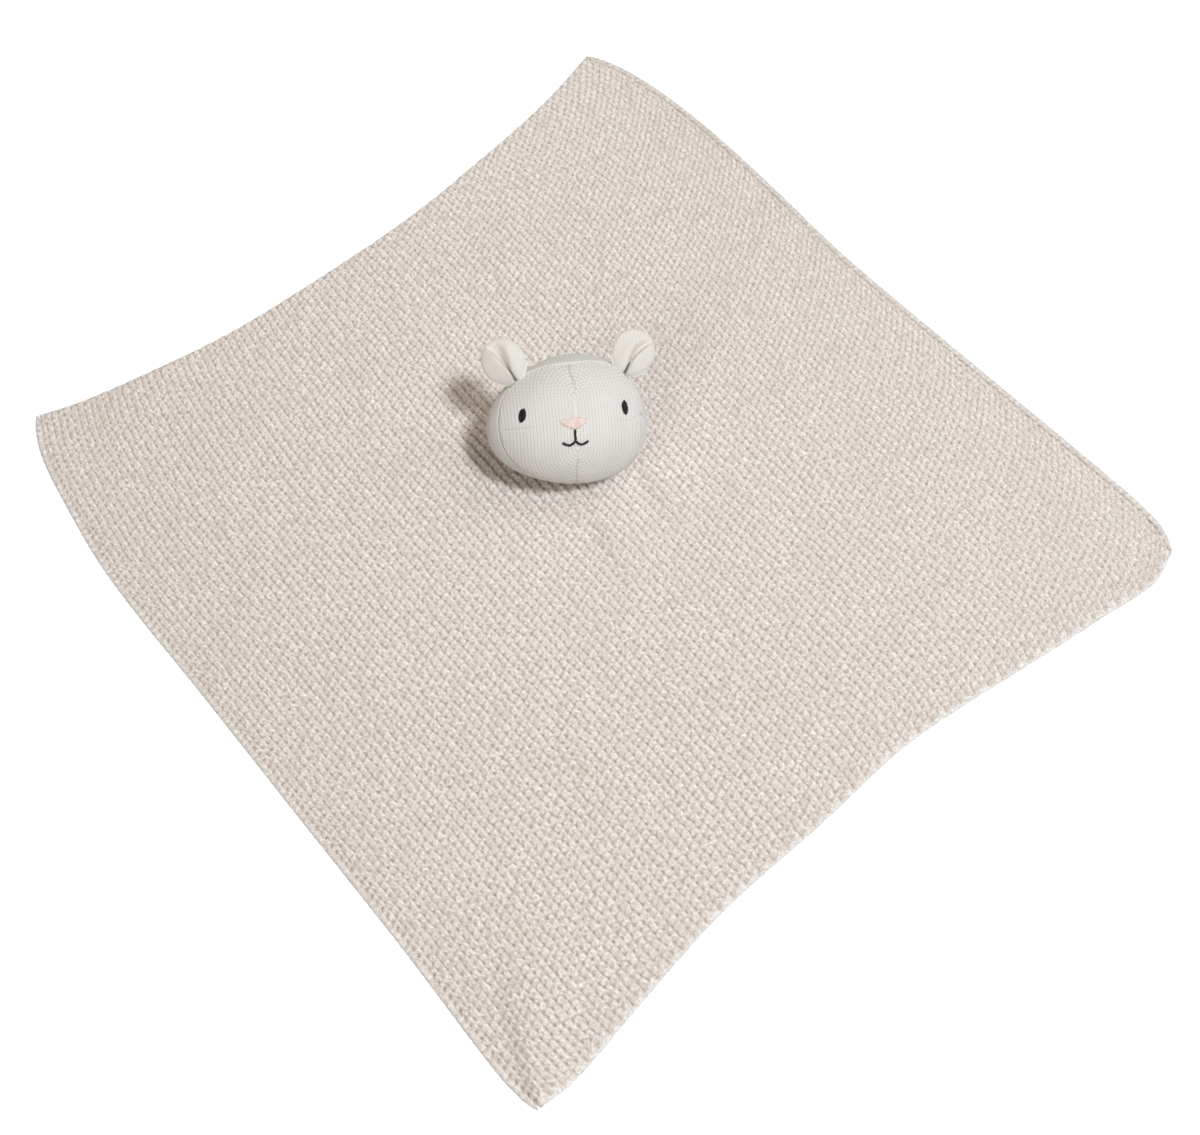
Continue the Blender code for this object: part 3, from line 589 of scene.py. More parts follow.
def make_blanket(knit):
    """The moss stitch cloth: one closed sheet with a loop of yarn for every stitch."""
    rng = np.random.default_rng(SEED)
    along, across, us, vs = knit_grid(CELLS_ACROSS, CELLS_ALONG)
    flat = cloth_point(along, across)
    lift = cloth_lift(flat)
    height, painted_shade = moss_height(us, vs, rng)

    # The columns join in pairs to thicker ribs along the right-to-front side, and end in a hem
    from_end = (1 - along) * CLOTH_SIDE
    joined = smooth_step(1.3 * (1 - from_end / END_RIB_LENGTH))
    pair = us / 2 - np.floor(us / 2) - 0.5
    rib = (1 - np.abs(2 * pair) ** 3.0) * (0.82 + 0.18 * height)
    hem = smooth_step(1.5 - from_end / END_HEM)
    rib = np.maximum(rib, 0.8 * hem)
    height = height * (1 - joined) + rib * joined
    # Painted shade between the paired ribs, lighter on the hem
    painted_shade = painted_shade * (1 - joined) + np.clip(0.80 - 1.7 * rib, 0, 1) * (1 - 0.7 * hem) * joined

    # The bands are sewn on with a row of small pits, one to a loop, sunk and painted dark as shade
    place, width = PIT_SHARES
    pit = bell((np.minimum(us, COLUMNS - us) - place) / width)
    pit *= (0.5 + 0.5 * np.cos(2 * np.pi * vs)) ** 2
    height, painted_shade = height * (1 - 0.5 * pit), np.maximum(painted_shade, 0.95 * pit)

    edge = edge_round(along)
    crown = CLOTH_THICK + CROWN_RISE
    top = lift + edge * (crown - LOOP_DEPTH * (1 - height))
    top = top + (1 - edge) * CLOTH_THICK * RIM_SHARES[0]
    from_neck = np.hypot(flat[..., 0] - NECK[0], flat[..., 1] - NECK[1])
    top -= PRESS_DEPTH * hump((from_neck - PRESS_RING) / PRESS_RING)
    vertices = np.dstack([flat, top])

    alongs, acrosses, us2, vs2 = knit_grid(2, 2)
    under_flat = cloth_point(alongs, acrosses)
    under_height, under_painted_shade = moss_height(us2, vs2 + 0.5, rng)
    under_edge = edge_round(alongs)
    under = cloth_lift(under_flat) + UNDER_DEPTH * (1 - under_height) * under_edge
    under += (1 - under_edge) * CLOTH_THICK * RIM_SHARES[1]
    bottom = np.dstack([under_flat, under])

    rows, columns = along.shape
    rows2, columns2 = alongs.shape
    start = rows * columns
    faces = [*grid_faces(rows, columns), *grid_faces(rows2, columns2, start)[:, ::-1]]
    faces += rim_faces(rim_loop(rows, columns, 0), rim_loop(rows2, columns2, start))
    points = np.concatenate([vertices.reshape(-1, 3), bottom.reshape(-1, 3)])
    piece = new_piece("knitted_cloth", points, faces, knit)
    # Painted shade of the hollows, which the knit's colour reads
    set_value(piece, "painted_shade", np.concatenate([painted_shade.ravel(), under_painted_shade.ravel()]))
    upper = np.stack([us / COLUMNS * 0.72, vs / LOOPS], -1).reshape(-1, 2)
    lower = np.stack([0.74 + us2 / COLUMNS * 0.26, vs2 / LOOPS], -1).reshape(-1, 2)
    set_uv(piece, BAKE_MAP, np.concatenate([upper, lower]))
    return piece


def rim_loop(rows, columns, start):
    """Vertex numbers round the rim of a grid, with the share of the way round at each."""
    grid = start + np.arange(rows * columns).reshape(rows, columns)
    sides = grid[0], grid[:, -1], grid[-1, ::-1], grid[::-1, 0]
    return [
        (number, k + i / (len(side) - 1))
        for k, side in enumerate(sides) for i, number in enumerate(side[:-1])
    ]


def rim_faces(top, low):
    """Triangles between two rims of different counts, both going the same way round."""
    faces = []
    i = j = 0
    while i < len(top) or j < len(low):
        a, b = top[i % len(top)][0], low[j % len(low)][0]
        next_top = top[i + 1][1] if i + 1 < len(top) else 4.0
        next_low = low[j + 1][1] if j + 1 < len(low) else 4.0
        if j >= len(low) or (i < len(top) and next_top <= next_low):
            faces.append((top[(i + 1) % len(top)][0], a, b))
            i += 1
        else:
            faces.append((a, b, low[(j + 1) % len(low)][0]))
            j += 1
    return faces


def make_band(name, upper, knit):
    """The smooth rolled band along one side, ribbed by its stitches."""
    steps, sides = LOOPS * 4, 10
    along = np.linspace(0, 1, steps + 1)
    ends = cloth_point(along, along * 0 + 1), cloth_point(along, along * 0)
    length = np.linalg.norm(ends[0] - ends[1], axis=1)
    across = BAND_WIDTH / 2 / length
    path = cloth_point(along, 1 - across if upper else across)
    run = np.gradient(path, axis=0)
    run /= np.linalg.norm(run, axis=1)[:, None]
    beside = np.stack([-run[:, 1], run[:, 0]], 1)
    lift = cloth_lift(path)
    turn = -2 * np.pi * np.arange(sides) / sides
    taper = np.sqrt(np.clip(np.minimum(along, 1 - along) * 60, 0.05, 1))
    rib = 1 + BAND_RIB * np.cos(2 * np.pi * (along[:, None] * LOOPS + 0.35 * np.sin(turn)))
    wide = (BAND_WIDTH / 2 + BAND_SWELL) * rib * taper[:, None]
    tall = BAND_HEIGHT / 2 * rib * taper[:, None]
    xy = path[:, None, :] + beside[:, None, :] * (wide * np.cos(turn))[..., None]
    z = lift[:, None] + BAND_HEIGHT / 2 + BAND_LIFT + tall * np.sin(turn)
    vertices = np.dstack([xy, z]).reshape(-1, 3)
    piece = new_piece(name, vertices, tube_faces(steps + 1, sides), knit)
    # Painted shade between the band's ribs
    set_value(piece, "painted_shade", np.repeat(BAND_GAP * np.abs(np.sin(np.pi * along * LOOPS)), sides))
    return piece


def swell(polar, turn):
    """Width factor that fills out the crown and the two cheeks."""
    wave = np.cos(HEAD_SWELLS * (turn - math.radians(CHEEK_TURN)))
    return 1 + CHEEK_SHARE * wave * np.sin(polar) ** 2


def head_surface(polar, turn, inset=0.0):
    """Points of the head in its own directions; inset may differ from place to place."""
    width, height, depth = (half - inset for half in HEAD_HALVES)
    around = np.sin(polar) * swell(polar, turn)
    return np.stack([
        width * around * np.cos(turn), height * around * np.sin(turn), depth * np.cos(polar)
    ], -1)


def seam_place(turn):
    """How far forward the seam lies at a turn round the head."""
    dips = (
        (EAR_RIGHT_TURN, SEAM_EAR_DIP, SEAM_DIP_SPAN),
        (EAR_LEFT_TURN, SEAM_EAR_DIP, SEAM_DIP_SPAN),
        (CHIN_TURN, SEAM_CHIN_DIP, CHIN_DIP_SPAN),
    )
    place = SEAM_FORWARD + 0 * turn
    for middle, dip, span in dips:
        off = (np.degrees(turn) - middle + 180) % 360 - 180
        place = place - dip * np.exp(-0.5 * (off / span) ** 2)
    return place


def soft_beyond(x):
    """How far x is beyond nought, with a soft start."""
    return (x + np.sqrt(x * x + DART_SOFTNESS**2)) / 2


def face_map(points):
    """Knit map of the face: its columns run upright and curve round the ends of the darts."""
    right, up = points[:, 0], points[:, 1]
    above, below = soft_beyond(up - UPPER_DART_END), soft_beyond(LOWER_DART_END - up)
    column = np.sqrt(right**2 + (above + below) ** 2)
    above_turn = np.arctan2(above, np.abs(right) + 1e-5)
    below_turn = np.arctan2(below, np.abs(right) + 1e-5)
    row = up - above + below + 0.75 * column * (above_turn - below_turn)
    return np.stack([column / STITCH_WIDTH, row / STITCH_HEIGHT], -1)


def line_distance(points, line):
    """Distance of flat points from a line of points, and the share of its length nearest."""
    line = np.array(line, float)
    best = np.full(points.shape[:-1], 1e9)
    share = np.zeros(points.shape[:-1])
    for k, (a, b) in enumerate(zip(line[:-1], line[1:])):
        run = b - a
        t = np.clip(((points - a) @ run) / (run @ run), 0, 1)
        away = np.linalg.norm(points - a - t[..., None] * run, axis=-1)
        share = np.where(away < best, (k + t) / (len(line) - 1), share)
        best = np.minimum(best, away)
    return best, share


def dart_shape(points, dart):
    """Sink of the surface beside a dart's line, and the painted shade in the line itself."""
    line, width, depth, dark = dart
    away, share = line_distance(points, line)
    fade = smooth_step(5 * (1 - share))
    groove = bell(away / width)
    pucker = bell((away - PUCKER_PLACE) / PUCKER_WIDTH)
    return depth * (groove - 0.25 * pucker) * fade, dark * bell(away / DART_LINE) * fade


# Each dart of the face: its line in the head's own directions, right and up, from the seam inwards,
# then its groove's width and depth and the painted shade in it
DARTS = (
    (((0.0000, 0.0275), (-0.0004, 0.0228), (0.0009, 0.0180), (0.0008, 0.0140)),
     0.0004, 0.00032, 0.34),
    (((0.0011, -0.0282), (0.0000, -0.0240), (-0.0007, -0.0190), (0.0004, -0.0122)),
     0.0003, 0.00014, 0.34),
    (((-0.0305, -0.0002), (-0.0230, 0.0004), (-0.0160, 0.0005)), 0.0003, 0.00014, 0.26),
    (((0.0325, 0.0022), (0.0262, -0.0002), (0.0205, -0.0002), (0.0160, 0.0022)),
     0.0007, 0.0003, 0.06),
)
NOSE_TIPS = ((-0.0070, 0.0026), (0.0046, 0.0026))
# Painted shade in the seam's groove at turns round the head: darkest at its left, the head's shaded
# side, nearly unseen at its right
SEAM_SHADES = (
    (0, 0.00), (60, 0.08), (110, 0.14), (150, 0.12), (190, 0.14), (225, 0.06), (250, 0.00),
    (360, 0.00),
)


def seam_sink(turn, edge):
    """How the covers roll in to the seam: a narrow groove, with a low welt at the crown."""
    crown = np.maximum(np.sin(turn), 0) ** 2
    welt = bell((edge - WELT_PLACE) / WELT_WIDTH)
    return (0.0002 + 0.0005 * crown) * np.exp(-edge / 0.00030) - 0.00018 * crown * welt


def seam_shade(turn, edge):
    # Painted shade in the seam's groove
    turn = np.degrees(turn) % 360
    return smooth_value(SEAM_SHADES, turn) * bell(edge / SEAM_LINE)


def disc(rings):
    """A disc of even triangles, ring k with 6k vertices: shares outward, turns, and faces."""
    first = [0] + [1 + 3 * k * (k - 1) for k in range(1, rings + 1)]
    shares, turns, faces = [np.zeros(1)], [np.zeros(1)], []
    for k in range(rings):
        inner, outer = 6 * k, 6 * (k + 1)
        shares.append(np.full(outer, (k + 1) / rings))
        turns.append(2 * np.pi * np.arange(outer) / outer)
        side, step = np.divmod(np.arange(outer), k + 1)
        here = first[k + 1] + np.arange(outer)
        beyond = first[k + 1] + (np.arange(outer) + 1) % outer
        faces.append(np.stack([first[k] + (side * k + step) % max(inner, 1), here, beyond], 1))
        if k:
            side, step = np.divmod(np.arange(inner), k)
            here = first[k] + np.arange(inner)
            beyond = first[k] + (np.arange(inner) + 1) % inner
            faces.append(np.stack([here, first[k + 1] + side * (k + 1) + step + 1, beyond], 1))
    return np.concatenate(shares), np.concatenate(turns), np.concatenate(faces)


def cover_polar(share, rim):
    """Polar places from a cover's middle to its rim, closer together at the rim."""
    return rim * share * (1 + 0.15 * (1 - share))


def make_cover(name, front, rings, sink_at, knit_map, jersey):
    """One panel of the head: jersey with its V stitches, drawn into the seam at its rim."""
    side = 1 if front else -1
    share, turn, faces = disc(rings)
    rim = np.arccos((side * seam_place(turn) + 0.0001) / HEAD_HALF_DEPTH)
    away = cover_polar(share, rim)
    polar = away if front else np.pi - away
    plain = head_surface(polar, turn)
    edge = (rim - away) * HEAD_HALF_HEIGHT
    sink, painted_shade = sink_at(plain)
    stitches = knit_map(plain)
    rise = STITCH_RISE * jersey_height(*stitches.T) * smooth_step(edge / 0.0006)
    points = head_surface(polar, turn, sink + seam_sink(turn, edge) - rise)
    faces = faces if front else faces[:, ::-1]
    piece = new_piece(name, head_to_world(points), faces, jersey)
    set_uv(piece, "knit", stitches)
    # Painted shade of the darts, the nose's corners and the seam's groove
    set_value(piece, "painted_shade", np.maximum(painted_shade, seam_shade(turn, edge)))
    return piece


def face_sink(points):
    """Sink of the face at its darts, and the painted shade in them and at the nose's corners."""
    sink, painted_shade = np.zeros(len(points)), np.zeros(len(points))
    for dart in DARTS:
        groove, shade = dart_shape(points[:, :2], dart)
        sink, painted_shade = sink + groove, np.maximum(painted_shade, shade)
    # Painted shade in small dots at the nose's corners
    for tip in NOSE_TIPS:
        away = np.linalg.norm(points[:, :2] - np.array(tip), axis=1)
        painted_shade = np.maximum(painted_shade, 0.9 * bell(away / NOSE_TIP))
    return sink, painted_shade


def back_sink(points):
    """The back has no darts."""
    return np.zeros(len(points)), np.zeros(len(points))


def back_map(points):
    """Knit map of the back: its columns run from the neck over the back to the crown.

    Those columns lie in planes, which would close to rings at the head's two sides, so there
    the map passes into that of a flat panel laid round the head from behind.
    """
    right, up, forward = points.T
    across = np.arcsin(np.clip(right / (1.06 * HEAD_HALF_WIDTH), -1, 1)) * HEAD_HALF_WIDTH
    over = np.arctan2(up, -forward) * np.hypot(up, forward)
    planes = np.stack([across, over], -1)
    polar = np.arccos(np.clip(-forward / HEAD_HALF_DEPTH, -1, 1))
    panel = (polar / np.maximum(np.sin(polar), 1e-6))[:, None] * points[:, :2]
    from_side = np.hypot(up / HEAD_HALF_HEIGHT, forward / HEAD_HALF_DEPTH)
    share = 1 - smooth_step((from_side - SIDE_PANEL) / SIDE_PANEL_FADE)
    return (planes + share[:, None] * (panel - planes)) / (STITCH_WIDTH, STITCH_HEIGHT)


def tube_faces(count, sides):
    """Faces of a closed tube of rings that turn clockwise about its path."""
    last = (count - 1) * sides
    return [*ring_faces(count, sides), range(sides), range(last, last + sides)[::-1]]


def thread_mesh(path, away, radius, sides=8, twist=THREAD_TWIST):
    """A twisted thread along a path: vertices and faces, its two ends closed."""
    path = np.asarray(path, float)
    run = np.gradient(path, axis=0)
    run /= np.linalg.norm(run, axis=1)[:, None] + 1e-12
    side = np.cross(run, away)
    side /= np.linalg.norm(side, axis=1)[:, None] + 1e-12
    out = np.cross(side, run)
    step = np.linalg.norm(np.diff(path, axis=0), axis=1)
    length = np.concatenate([[0], np.cumsum(step)])
    turn = 2 * np.pi * np.arange(sides) / sides
    ply = 1 + PLY_RISE * np.cos(PLIES * turn[None, :] - 2 * np.pi * length[:, None] / twist)
    ends = np.minimum(length, length[-1] - length) / radius
    round_off = np.sqrt(np.clip(1 - (1 - np.clip(ends, 0, 1)) ** 2, 0.02, 1))
    size = radius * ply * round_off[:, None]
    vertices = (
        path[:, None, :]
        + side[:, None, :] * (np.cos(turn) * size)[..., None]
        + out[:, None, :] * (np.sin(turn) * size)[..., None]
    ).reshape(-1, 3)
    return vertices, tube_faces(len(path), sides)


def join_threads(name, threads, material):
    """Several threads as one piece."""
    vertices, faces, start = [], [], 0
    for points, quads in threads:
        vertices.append(points)
        faces += [tuple(int(i) + start for i in face) for face in quads]
        start += len(points)
    return new_piece(name, np.concatenate(vertices), faces, material)


def make_seam_thread(material):
    """Small slanted stitches that close the head, deep in the groove of the seam."""
    turn = np.linspace(0, 2 * np.pi, 1200)
    place = seam_place(turn) + SEAM_THREAD_SWAY * np.sin(turn * SEAM_STITCHES)
    polar = np.arccos(place / (HEAD_HALF_DEPTH - SEAM_THREAD_INSET))
    path = head_surface(polar, turn, SEAM_THREAD_INSET)
    vertices, faces = thread_mesh(path, path, SEAM_THREAD_RADIUS, 6)
    thread = [(head_to_world(vertices), faces)]
    return join_threads("seam_stitches", thread, material)


def on_face(right, up, lift):
    """Points at places on the face, lifted off it along the head's surface."""
    right, up = np.broadcast_arrays(np.asarray(right, float), np.asarray(up, float))

    def surface(r, u):
        wide, high = r / HEAD_HALF_WIDTH, u / HEAD_HALF_HEIGHT
        turn, around = np.arctan2(high, wide), np.hypot(wide, high)
        polar = np.arcsin(np.minimum(around, 1))
        for _ in range(6):
            polar = np.arcsin(np.minimum(around / swell(polar, turn), 1))
        return np.stack([r, u, HEAD_HALF_DEPTH * np.cos(polar)], -1)

    step = 0.0002
    here = surface(right, up)
    normal = np.cross(surface(right + step, up) - here, surface(right, up + step) - here)
    normal /= np.linalg.norm(normal, axis=-1)[..., None]
    return here + normal * np.asarray(lift)[..., None], normal


def face_frame(right, up):
    """Unit directions along the face at a place: sideways, upward."""
    here, _ = on_face(right, up, 0.0)
    side = on_face(right + 0.0003, up, 0.0)[0] - here
    rise = on_face(right, up + 0.0003, 0.0)[0] - here
    return here, side / np.linalg.norm(side), rise / np.linalg.norm(rise)


def satin(name, place, ends, count, radius, material):
    """Satin stitch: parallel threads across a shape; ends(share) gives a thread's two ends."""
    rng = np.random.default_rng(SEED + count)
    here, side, rise = face_frame(*place)
    threads = []
    for k in range(count):
        (x0, y0), (x1, y1) = ends((k + 0.5) / count)
        jitter = rng.uniform(-0.00012, 0.00012, 2)
        t = np.linspace(0, 1, 14)
        x = x0 + (x1 - x0) * t + jitter[0] * t
        y = y0 + (y1 - y0) * t + jitter[1]
        right, up, _ = (here + x[:, None] * side + y[:, None] * rise).T
        arch = 0.00010 + 0.00045 * np.sin(np.pi * t) ** 0.5
        path, normal = on_face(right, up, arch)
        vertices, faces = thread_mesh(path, normal, radius, 8, 0.0009)
        threads.append((head_to_world(vertices), faces))
    return join_threads(name, threads, material)


EYE_HALF_WIDTH = 0.00175
EYE_HALF_HEIGHT = 0.0029
EYE_LEAN = 12.0
EYE_THREAD = 0.00024
EYE_SPACING_SHARE = 0.62
EYE_HEIGHT = 0.0058
FACE_SHIFT = -0.0009
NOSE_HALF_WIDTH = 0.0056
NOSE_TOP = 0.0022
NOSE_BOTTOM = 0.0033
NOSE_HEIGHT = 0.0017
NOSE_THREAD = 0.00022
NOSE_TOP_POWER = 1.11
NOSE_BOTTOM_POWER = 1.60
MOUTH_RADIUS = 0.00055
MOUTH_LIFT = 0.00035
MOUTH_TWIST = 0.0016
MOUTH_HEIGHT = -0.0062
MOUTH_HALF_WIDTH = 0.0057
MOUTH_DROP = 0.0021


def make_eye(name, hand, material):
    """An upright oval of slanted satin stitches."""
    lean = math.radians(EYE_LEAN) * hand

    def turned(x, y):
        return x * math.cos(lean) - y * math.sin(lean), x * math.sin(lean) + y * math.cos(lean)

    def ends(share):
        y = (2 * share - 1) * EYE_HALF_HEIGHT
        half = EYE_HALF_WIDTH * max(1 - abs(2 * share - 1) ** 2.6, 0.05) ** 0.5
        slant = 0.0004
        return turned(-half, y - slant), turned(half, y + slant)

    right = hand * EYE_SPACING_SHARE * HEAD_HALF_WIDTH
    return satin(name, (right, EYE_HEIGHT), ends, 18, EYE_THREAD, material)


def make_nose(material):
    """A wide triangle of upright satin stitches, rounded above and pointed below."""
    def edge(x, height, power):
        c = min(abs(x) / NOSE_HALF_WIDTH, 1.0) ** (1 / power)
        return height * (1 - c * c) ** (power / 2)

    def ends(share):
        x = (2 * share - 1) * NOSE_HALF_WIDTH * 0.96
        top = edge(x, NOSE_TOP, NOSE_TOP_POWER)
        bottom = edge(x, NOSE_BOTTOM, NOSE_BOTTOM_POWER)
        return (x, -bottom - 0.0001), (x, top + 0.0001)

    place = FACE_SHIFT, NOSE_HEIGHT
    return satin("nose_stitches", place, ends, 40, NOSE_THREAD, material)


def mouth_thread(places):
    x, y = (np.array(column) for column in zip(*places))
    path, normal = on_face(x, y, np.full(len(x), MOUTH_LIFT))
    vertices, faces = thread_mesh(path, normal, MOUTH_RADIUS, 10, MOUTH_TWIST)
    return head_to_world(vertices), faces


def make_mouth(material):
    """A stem under the nose and a smile of two hanging curves, in thick thread."""
    top, bottom = NOSE_HEIGHT - NOSE_BOTTOM + 0.0002, MOUTH_HEIGHT + 0.0001
    stem = [
        (FACE_SHIFT + 0.0001 * math.sin(9 * t), top + (bottom - top) * t)
        for t in np.linspace(0, 1, 24)
    ]
    smile = []
    for share in np.linspace(-1, 1, 90):
        reach = abs(share)
        sag = 0.72 * math.sin(math.pi * reach**0.8) + 0.28 * math.sin(math.pi / 2 * reach)
        smile.append((FACE_SHIFT + share * MOUTH_HALF_WIDTH, MOUTH_HEIGHT - MOUTH_DROP * sag))
    return (
        join_threads("mouth_stem_stitch", [mouth_thread(stem)], material),
        join_threads("mouth_smile_stitch", [mouth_thread(smile)], material),
    )


EAR_RADIUS = 0.0096
EAR_ROOT_RISE = 0.0009
EAR_ROOT_SINK = 0.0016
EAR_BASE_POWER = 0.6
EAR_CUP = 0.0014
EAR_PUFF = 0.0030
EAR_LOBE_WIDTH = 0.0055
EAR_RINGS = 56
EAR_STITCH_SHARE = 0.75      # the ears are knitted finer than the face
# The crease of each ear, by hand: its bend to the side at the tip as a share of the radius, its
# width there, the share of the ear's length where it fades out, its depth, and the height of
# the lobe that folds over it
EAR_CREASES = {
    -1: (-0.30, 0.0036, 1.00, 0.0034, 0.0034),
    1: (1.00, 0.0028, 0.95, 0.0022, 0.0018),
}


def ear_shape(x, y, front, hand):
    """Height of an ear's layer over its disc, and the painted shade of its crease at a place.

    The ear is pinched at its root, so that a crease runs from there up between two lobes: one
    lobe stands steeply over the crease, and the other slopes gently down to it.
    """
    bend, spread, far, depth, fold = EAR_CREASES[hand]
    share = (1 + y) / 2
    away = EAR_RADIUS * (x - bend * share**3) * hand
    fade = smooth_step((far - share) / 0.35)
    open_out = smooth_step((share - 0.12) / 0.88)
    steep, gentle = 0.0004 + 0.3 * spread * open_out, 0.0005 + spread * open_out
    valley = bell(away / np.where(away > 0, steep, gentle)) * fade
    over = np.maximum(away, 0)
    lobe = (1 - bell(over / steep)) * bell(over / EAR_LOBE_WIDTH) * fade
    other = bell((away + gentle + 0.0022) / 0.0030) * fade
    rim = np.hypot(x, y)
    puff = EAR_PUFF * np.clip(1 - rim**2.4, 0, 1) ** 0.62
    cup = EAR_CUP * (1 - 0.3 * share) * np.abs(x) ** 1.6 - 0.0010 * share**2
    if front:
        # Painted shade along the crease, strongest in its narrow lower part
        line = 0.55 * valley**2 * (1 - smooth_step(share / 0.7)) + 0.10 * valley
        return cup + puff + fold * lobe + 0.0014 * other - depth * valley, line
    # The back layer gets a faint painted shade along the crease
    return cup - puff + 0.6 * fold * lobe + 0.0006 * other - 0.0004 * valley, 0.1 * valley


def make_ear(name, hand, joint, jersey):
    """A rounded ear of two jersey layers with a soft rim, creased from its root."""
    axis = np.array(JOINTS[joint]["axis"], float)
    outward = np.cross(HEAD_AXES[2], axis)
    root = np.array(JOINTS[joint]["pos_m"], float)
    share, turn, faces = disc(EAR_RINGS)
    x, y = share * np.cos(turn), share * np.sin(turn)
    wide = share * np.sign(x) * np.abs(np.cos(turn)) ** np.where(y < 0, EAR_BASE_POWER, 1.0)
    reach = EAR_ROOT_RISE + EAR_RADIUS * (1 + y) - EAR_ROOT_SINK * (1 - (1 + y) / 2) ** 2
    # The stitch columns spread from below the root
    centre = reach + 0.0045
    stitches = np.stack([
        np.arctan2(EAR_RADIUS * wide, centre) * 0.0145,
        np.hypot(EAR_RADIUS * wide, centre),
    ], -1) / (EAR_STITCH_SHARE * np.array((STITCH_WIDTH, STITCH_HEIGHT)))
    rise = EAR_STITCH_SHARE * STITCH_RISE * jersey_height(*stitches.T)
    rise = rise * smooth_step((1 - share) * EAR_RADIUS / 0.0007)
    flat = root + (EAR_RADIUS * wide)[:, None] * axis + reach[:, None] * outward
    heights, shades = zip(*(ear_shape(wide, y, front, hand) for front in (True, False)))
    layers = [
        flat + (height + side * rise)[:, None] * HEAD_AXES[2]
        for height, side in zip(heights, (1, -1))
    ]
    # The back layer ends on the front layer's rim
    inner = share < 1 - 1e-6
    back = np.where(inner, np.arange(len(share)) + len(share), np.arange(len(share)))
    piece = new_piece(
        name, np.concatenate([layers[0], layers[1][inner]]),
        np.concatenate([faces, back[faces][:, ::-1]]), jersey,
    )
    set_uv(piece, "knit", np.concatenate([stitches, stitches[inner]]))
    # Painted shade of the creases
    set_value(piece, "painted_shade", np.concatenate([shades[0], shades[1][inner]]))
    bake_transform(piece)
    return piece


def make_filling(material):
    """Loose fibre filling, a lumpy body inside the head's covers."""
    rings, sides = 40, 60
    polar = np.linspace(0, np.pi, rings + 1)[1:-1, None]
    turn = np.linspace(0, 2 * np.pi, sides, endpoint=False)[None, :]
    lumps = FILLING_LUMPS * np.sin(5 * turn + 3 * polar) * np.sin(6 * polar)
    points = head_surface(polar, turn, FILLING_INSET + lumps)
    ends = head_surface(np.array([0.0, np.pi]), np.array([0.0, 0.0]), FILLING_INSET)
    vertices = np.concatenate([ends, points.reshape(-1, 3)])
    last = 2 + (rings - 2) * sides
    faces = [*ring_faces(rings - 1, sides, 2)]
    faces += [(0, 2 + j, 2 + (j + 1) % sides) for j in range(sides)]
    faces += [(1, last + (j + 1) % sides, last + j) for j in range(sides)]
    points = head_to_world(vertices)
    return new_piece("fibre_filling", points, faces, material)


def make_neck_knot(material):
    """The bundle of thread turns that ties the head to the cloth."""
    threads = []
    for k, tilt in enumerate((-0.5, -0.2, 0.1, 0.4)):
        t = np.linspace(0, 2 * np.pi, 40)
        height = np.sin(t) * math.sin(tilt) + 0.5 * (k - 1.5) / 2
        ring = np.stack([np.cos(t), np.sin(t) * math.cos(tilt), height], 1)
        path = NECK + (KNOT_RADIUS - KNOT_THREAD) * ring
        threads.append(thread_mesh(path, ring, KNOT_THREAD, 8))
    return join_threads("neck_tie", threads, material)


def make_floor():
    size = FLOOR_SIDES * CLOTH_SIDE
    vertices = [(-size, -size, 0), (size, -size, 0), (size, size, 0), (-size, size, 0)]
    mesh = bpy.data.meshes.new("floor")
    mesh.from_pydata(vertices, [], [(0, 1, 2, 3)])
    floor = add_object("floor", mesh)
    n = Nodes("white_floor")
    n.shader.inputs["Base Color"].default_value = (0.9, 0.9, 0.9, 1)
    n.shader.inputs["Roughness"].default_value = 1.0
    n.shader.inputs["Specular IOR Level"].default_value = 0.0
    paths = n.add("ShaderNodeLightPath")
    seen = n.math("MAXIMUM", paths.outputs["Is Glossy Ray"], paths.outputs["Is Transmission Ray"])
    seen = n.math("MAXIMUM", paths.outputs["Is Camera Ray"], seen)
    away = n.add("ShaderNodeVectorMath", operation="LENGTH")
    n.put(away.inputs[0], n.place())
    far = n.ramp(away.outputs["Value"], *FLOOR_FAR)
    n.shader.inputs["Emission Color"].default_value = (1, 1, 1, 1)
    glow = n.math("MULTIPLY_ADD", far, 1 - FLOOR_GLOW, FLOOR_GLOW)
    n.put(n.shader.inputs["Emission Strength"], n.math("MULTIPLY", seen, glow))
    mesh.materials.append(n.material)


def make_world():
    world = bpy.data.worlds.new("studio")
    world.use_nodes = True
    tree = world.node_tree
    back = tree.nodes["Background"]
    paths = tree.nodes.new("ShaderNodeLightPath")
    mix = tree.nodes.new("ShaderNodeMix")
    mix.data_type = "RGBA"
    tree.links.new(paths.outputs["Is Camera Ray"], mix.inputs["Factor"])
    mix.inputs[6].default_value = WORLD_LIGHT
    mix.inputs[7].default_value = (1, 1, 1, 1)
    tree.links.new(mix.outputs[2], back.inputs["Color"])
    bpy.context.scene.world = world


def make_lamp(name, azimuth, elevation, size, power, colour):
    """A square soft lamp that looks at the cloth's middle from a direction."""
    light = bpy.data.lights.new(name, "AREA")
    light.color = colour
    light.shape = "SQUARE"
    light.size = size
    light.energy = power
    lamp = add_object(name, light)
    way = direction(azimuth, elevation)
    lamp.location = way * LAMP_DISTANCE
    lamp.rotation_mode = "QUATERNION"
    lamp.rotation_quaternion = way.to_track_quat("Z", "Y")


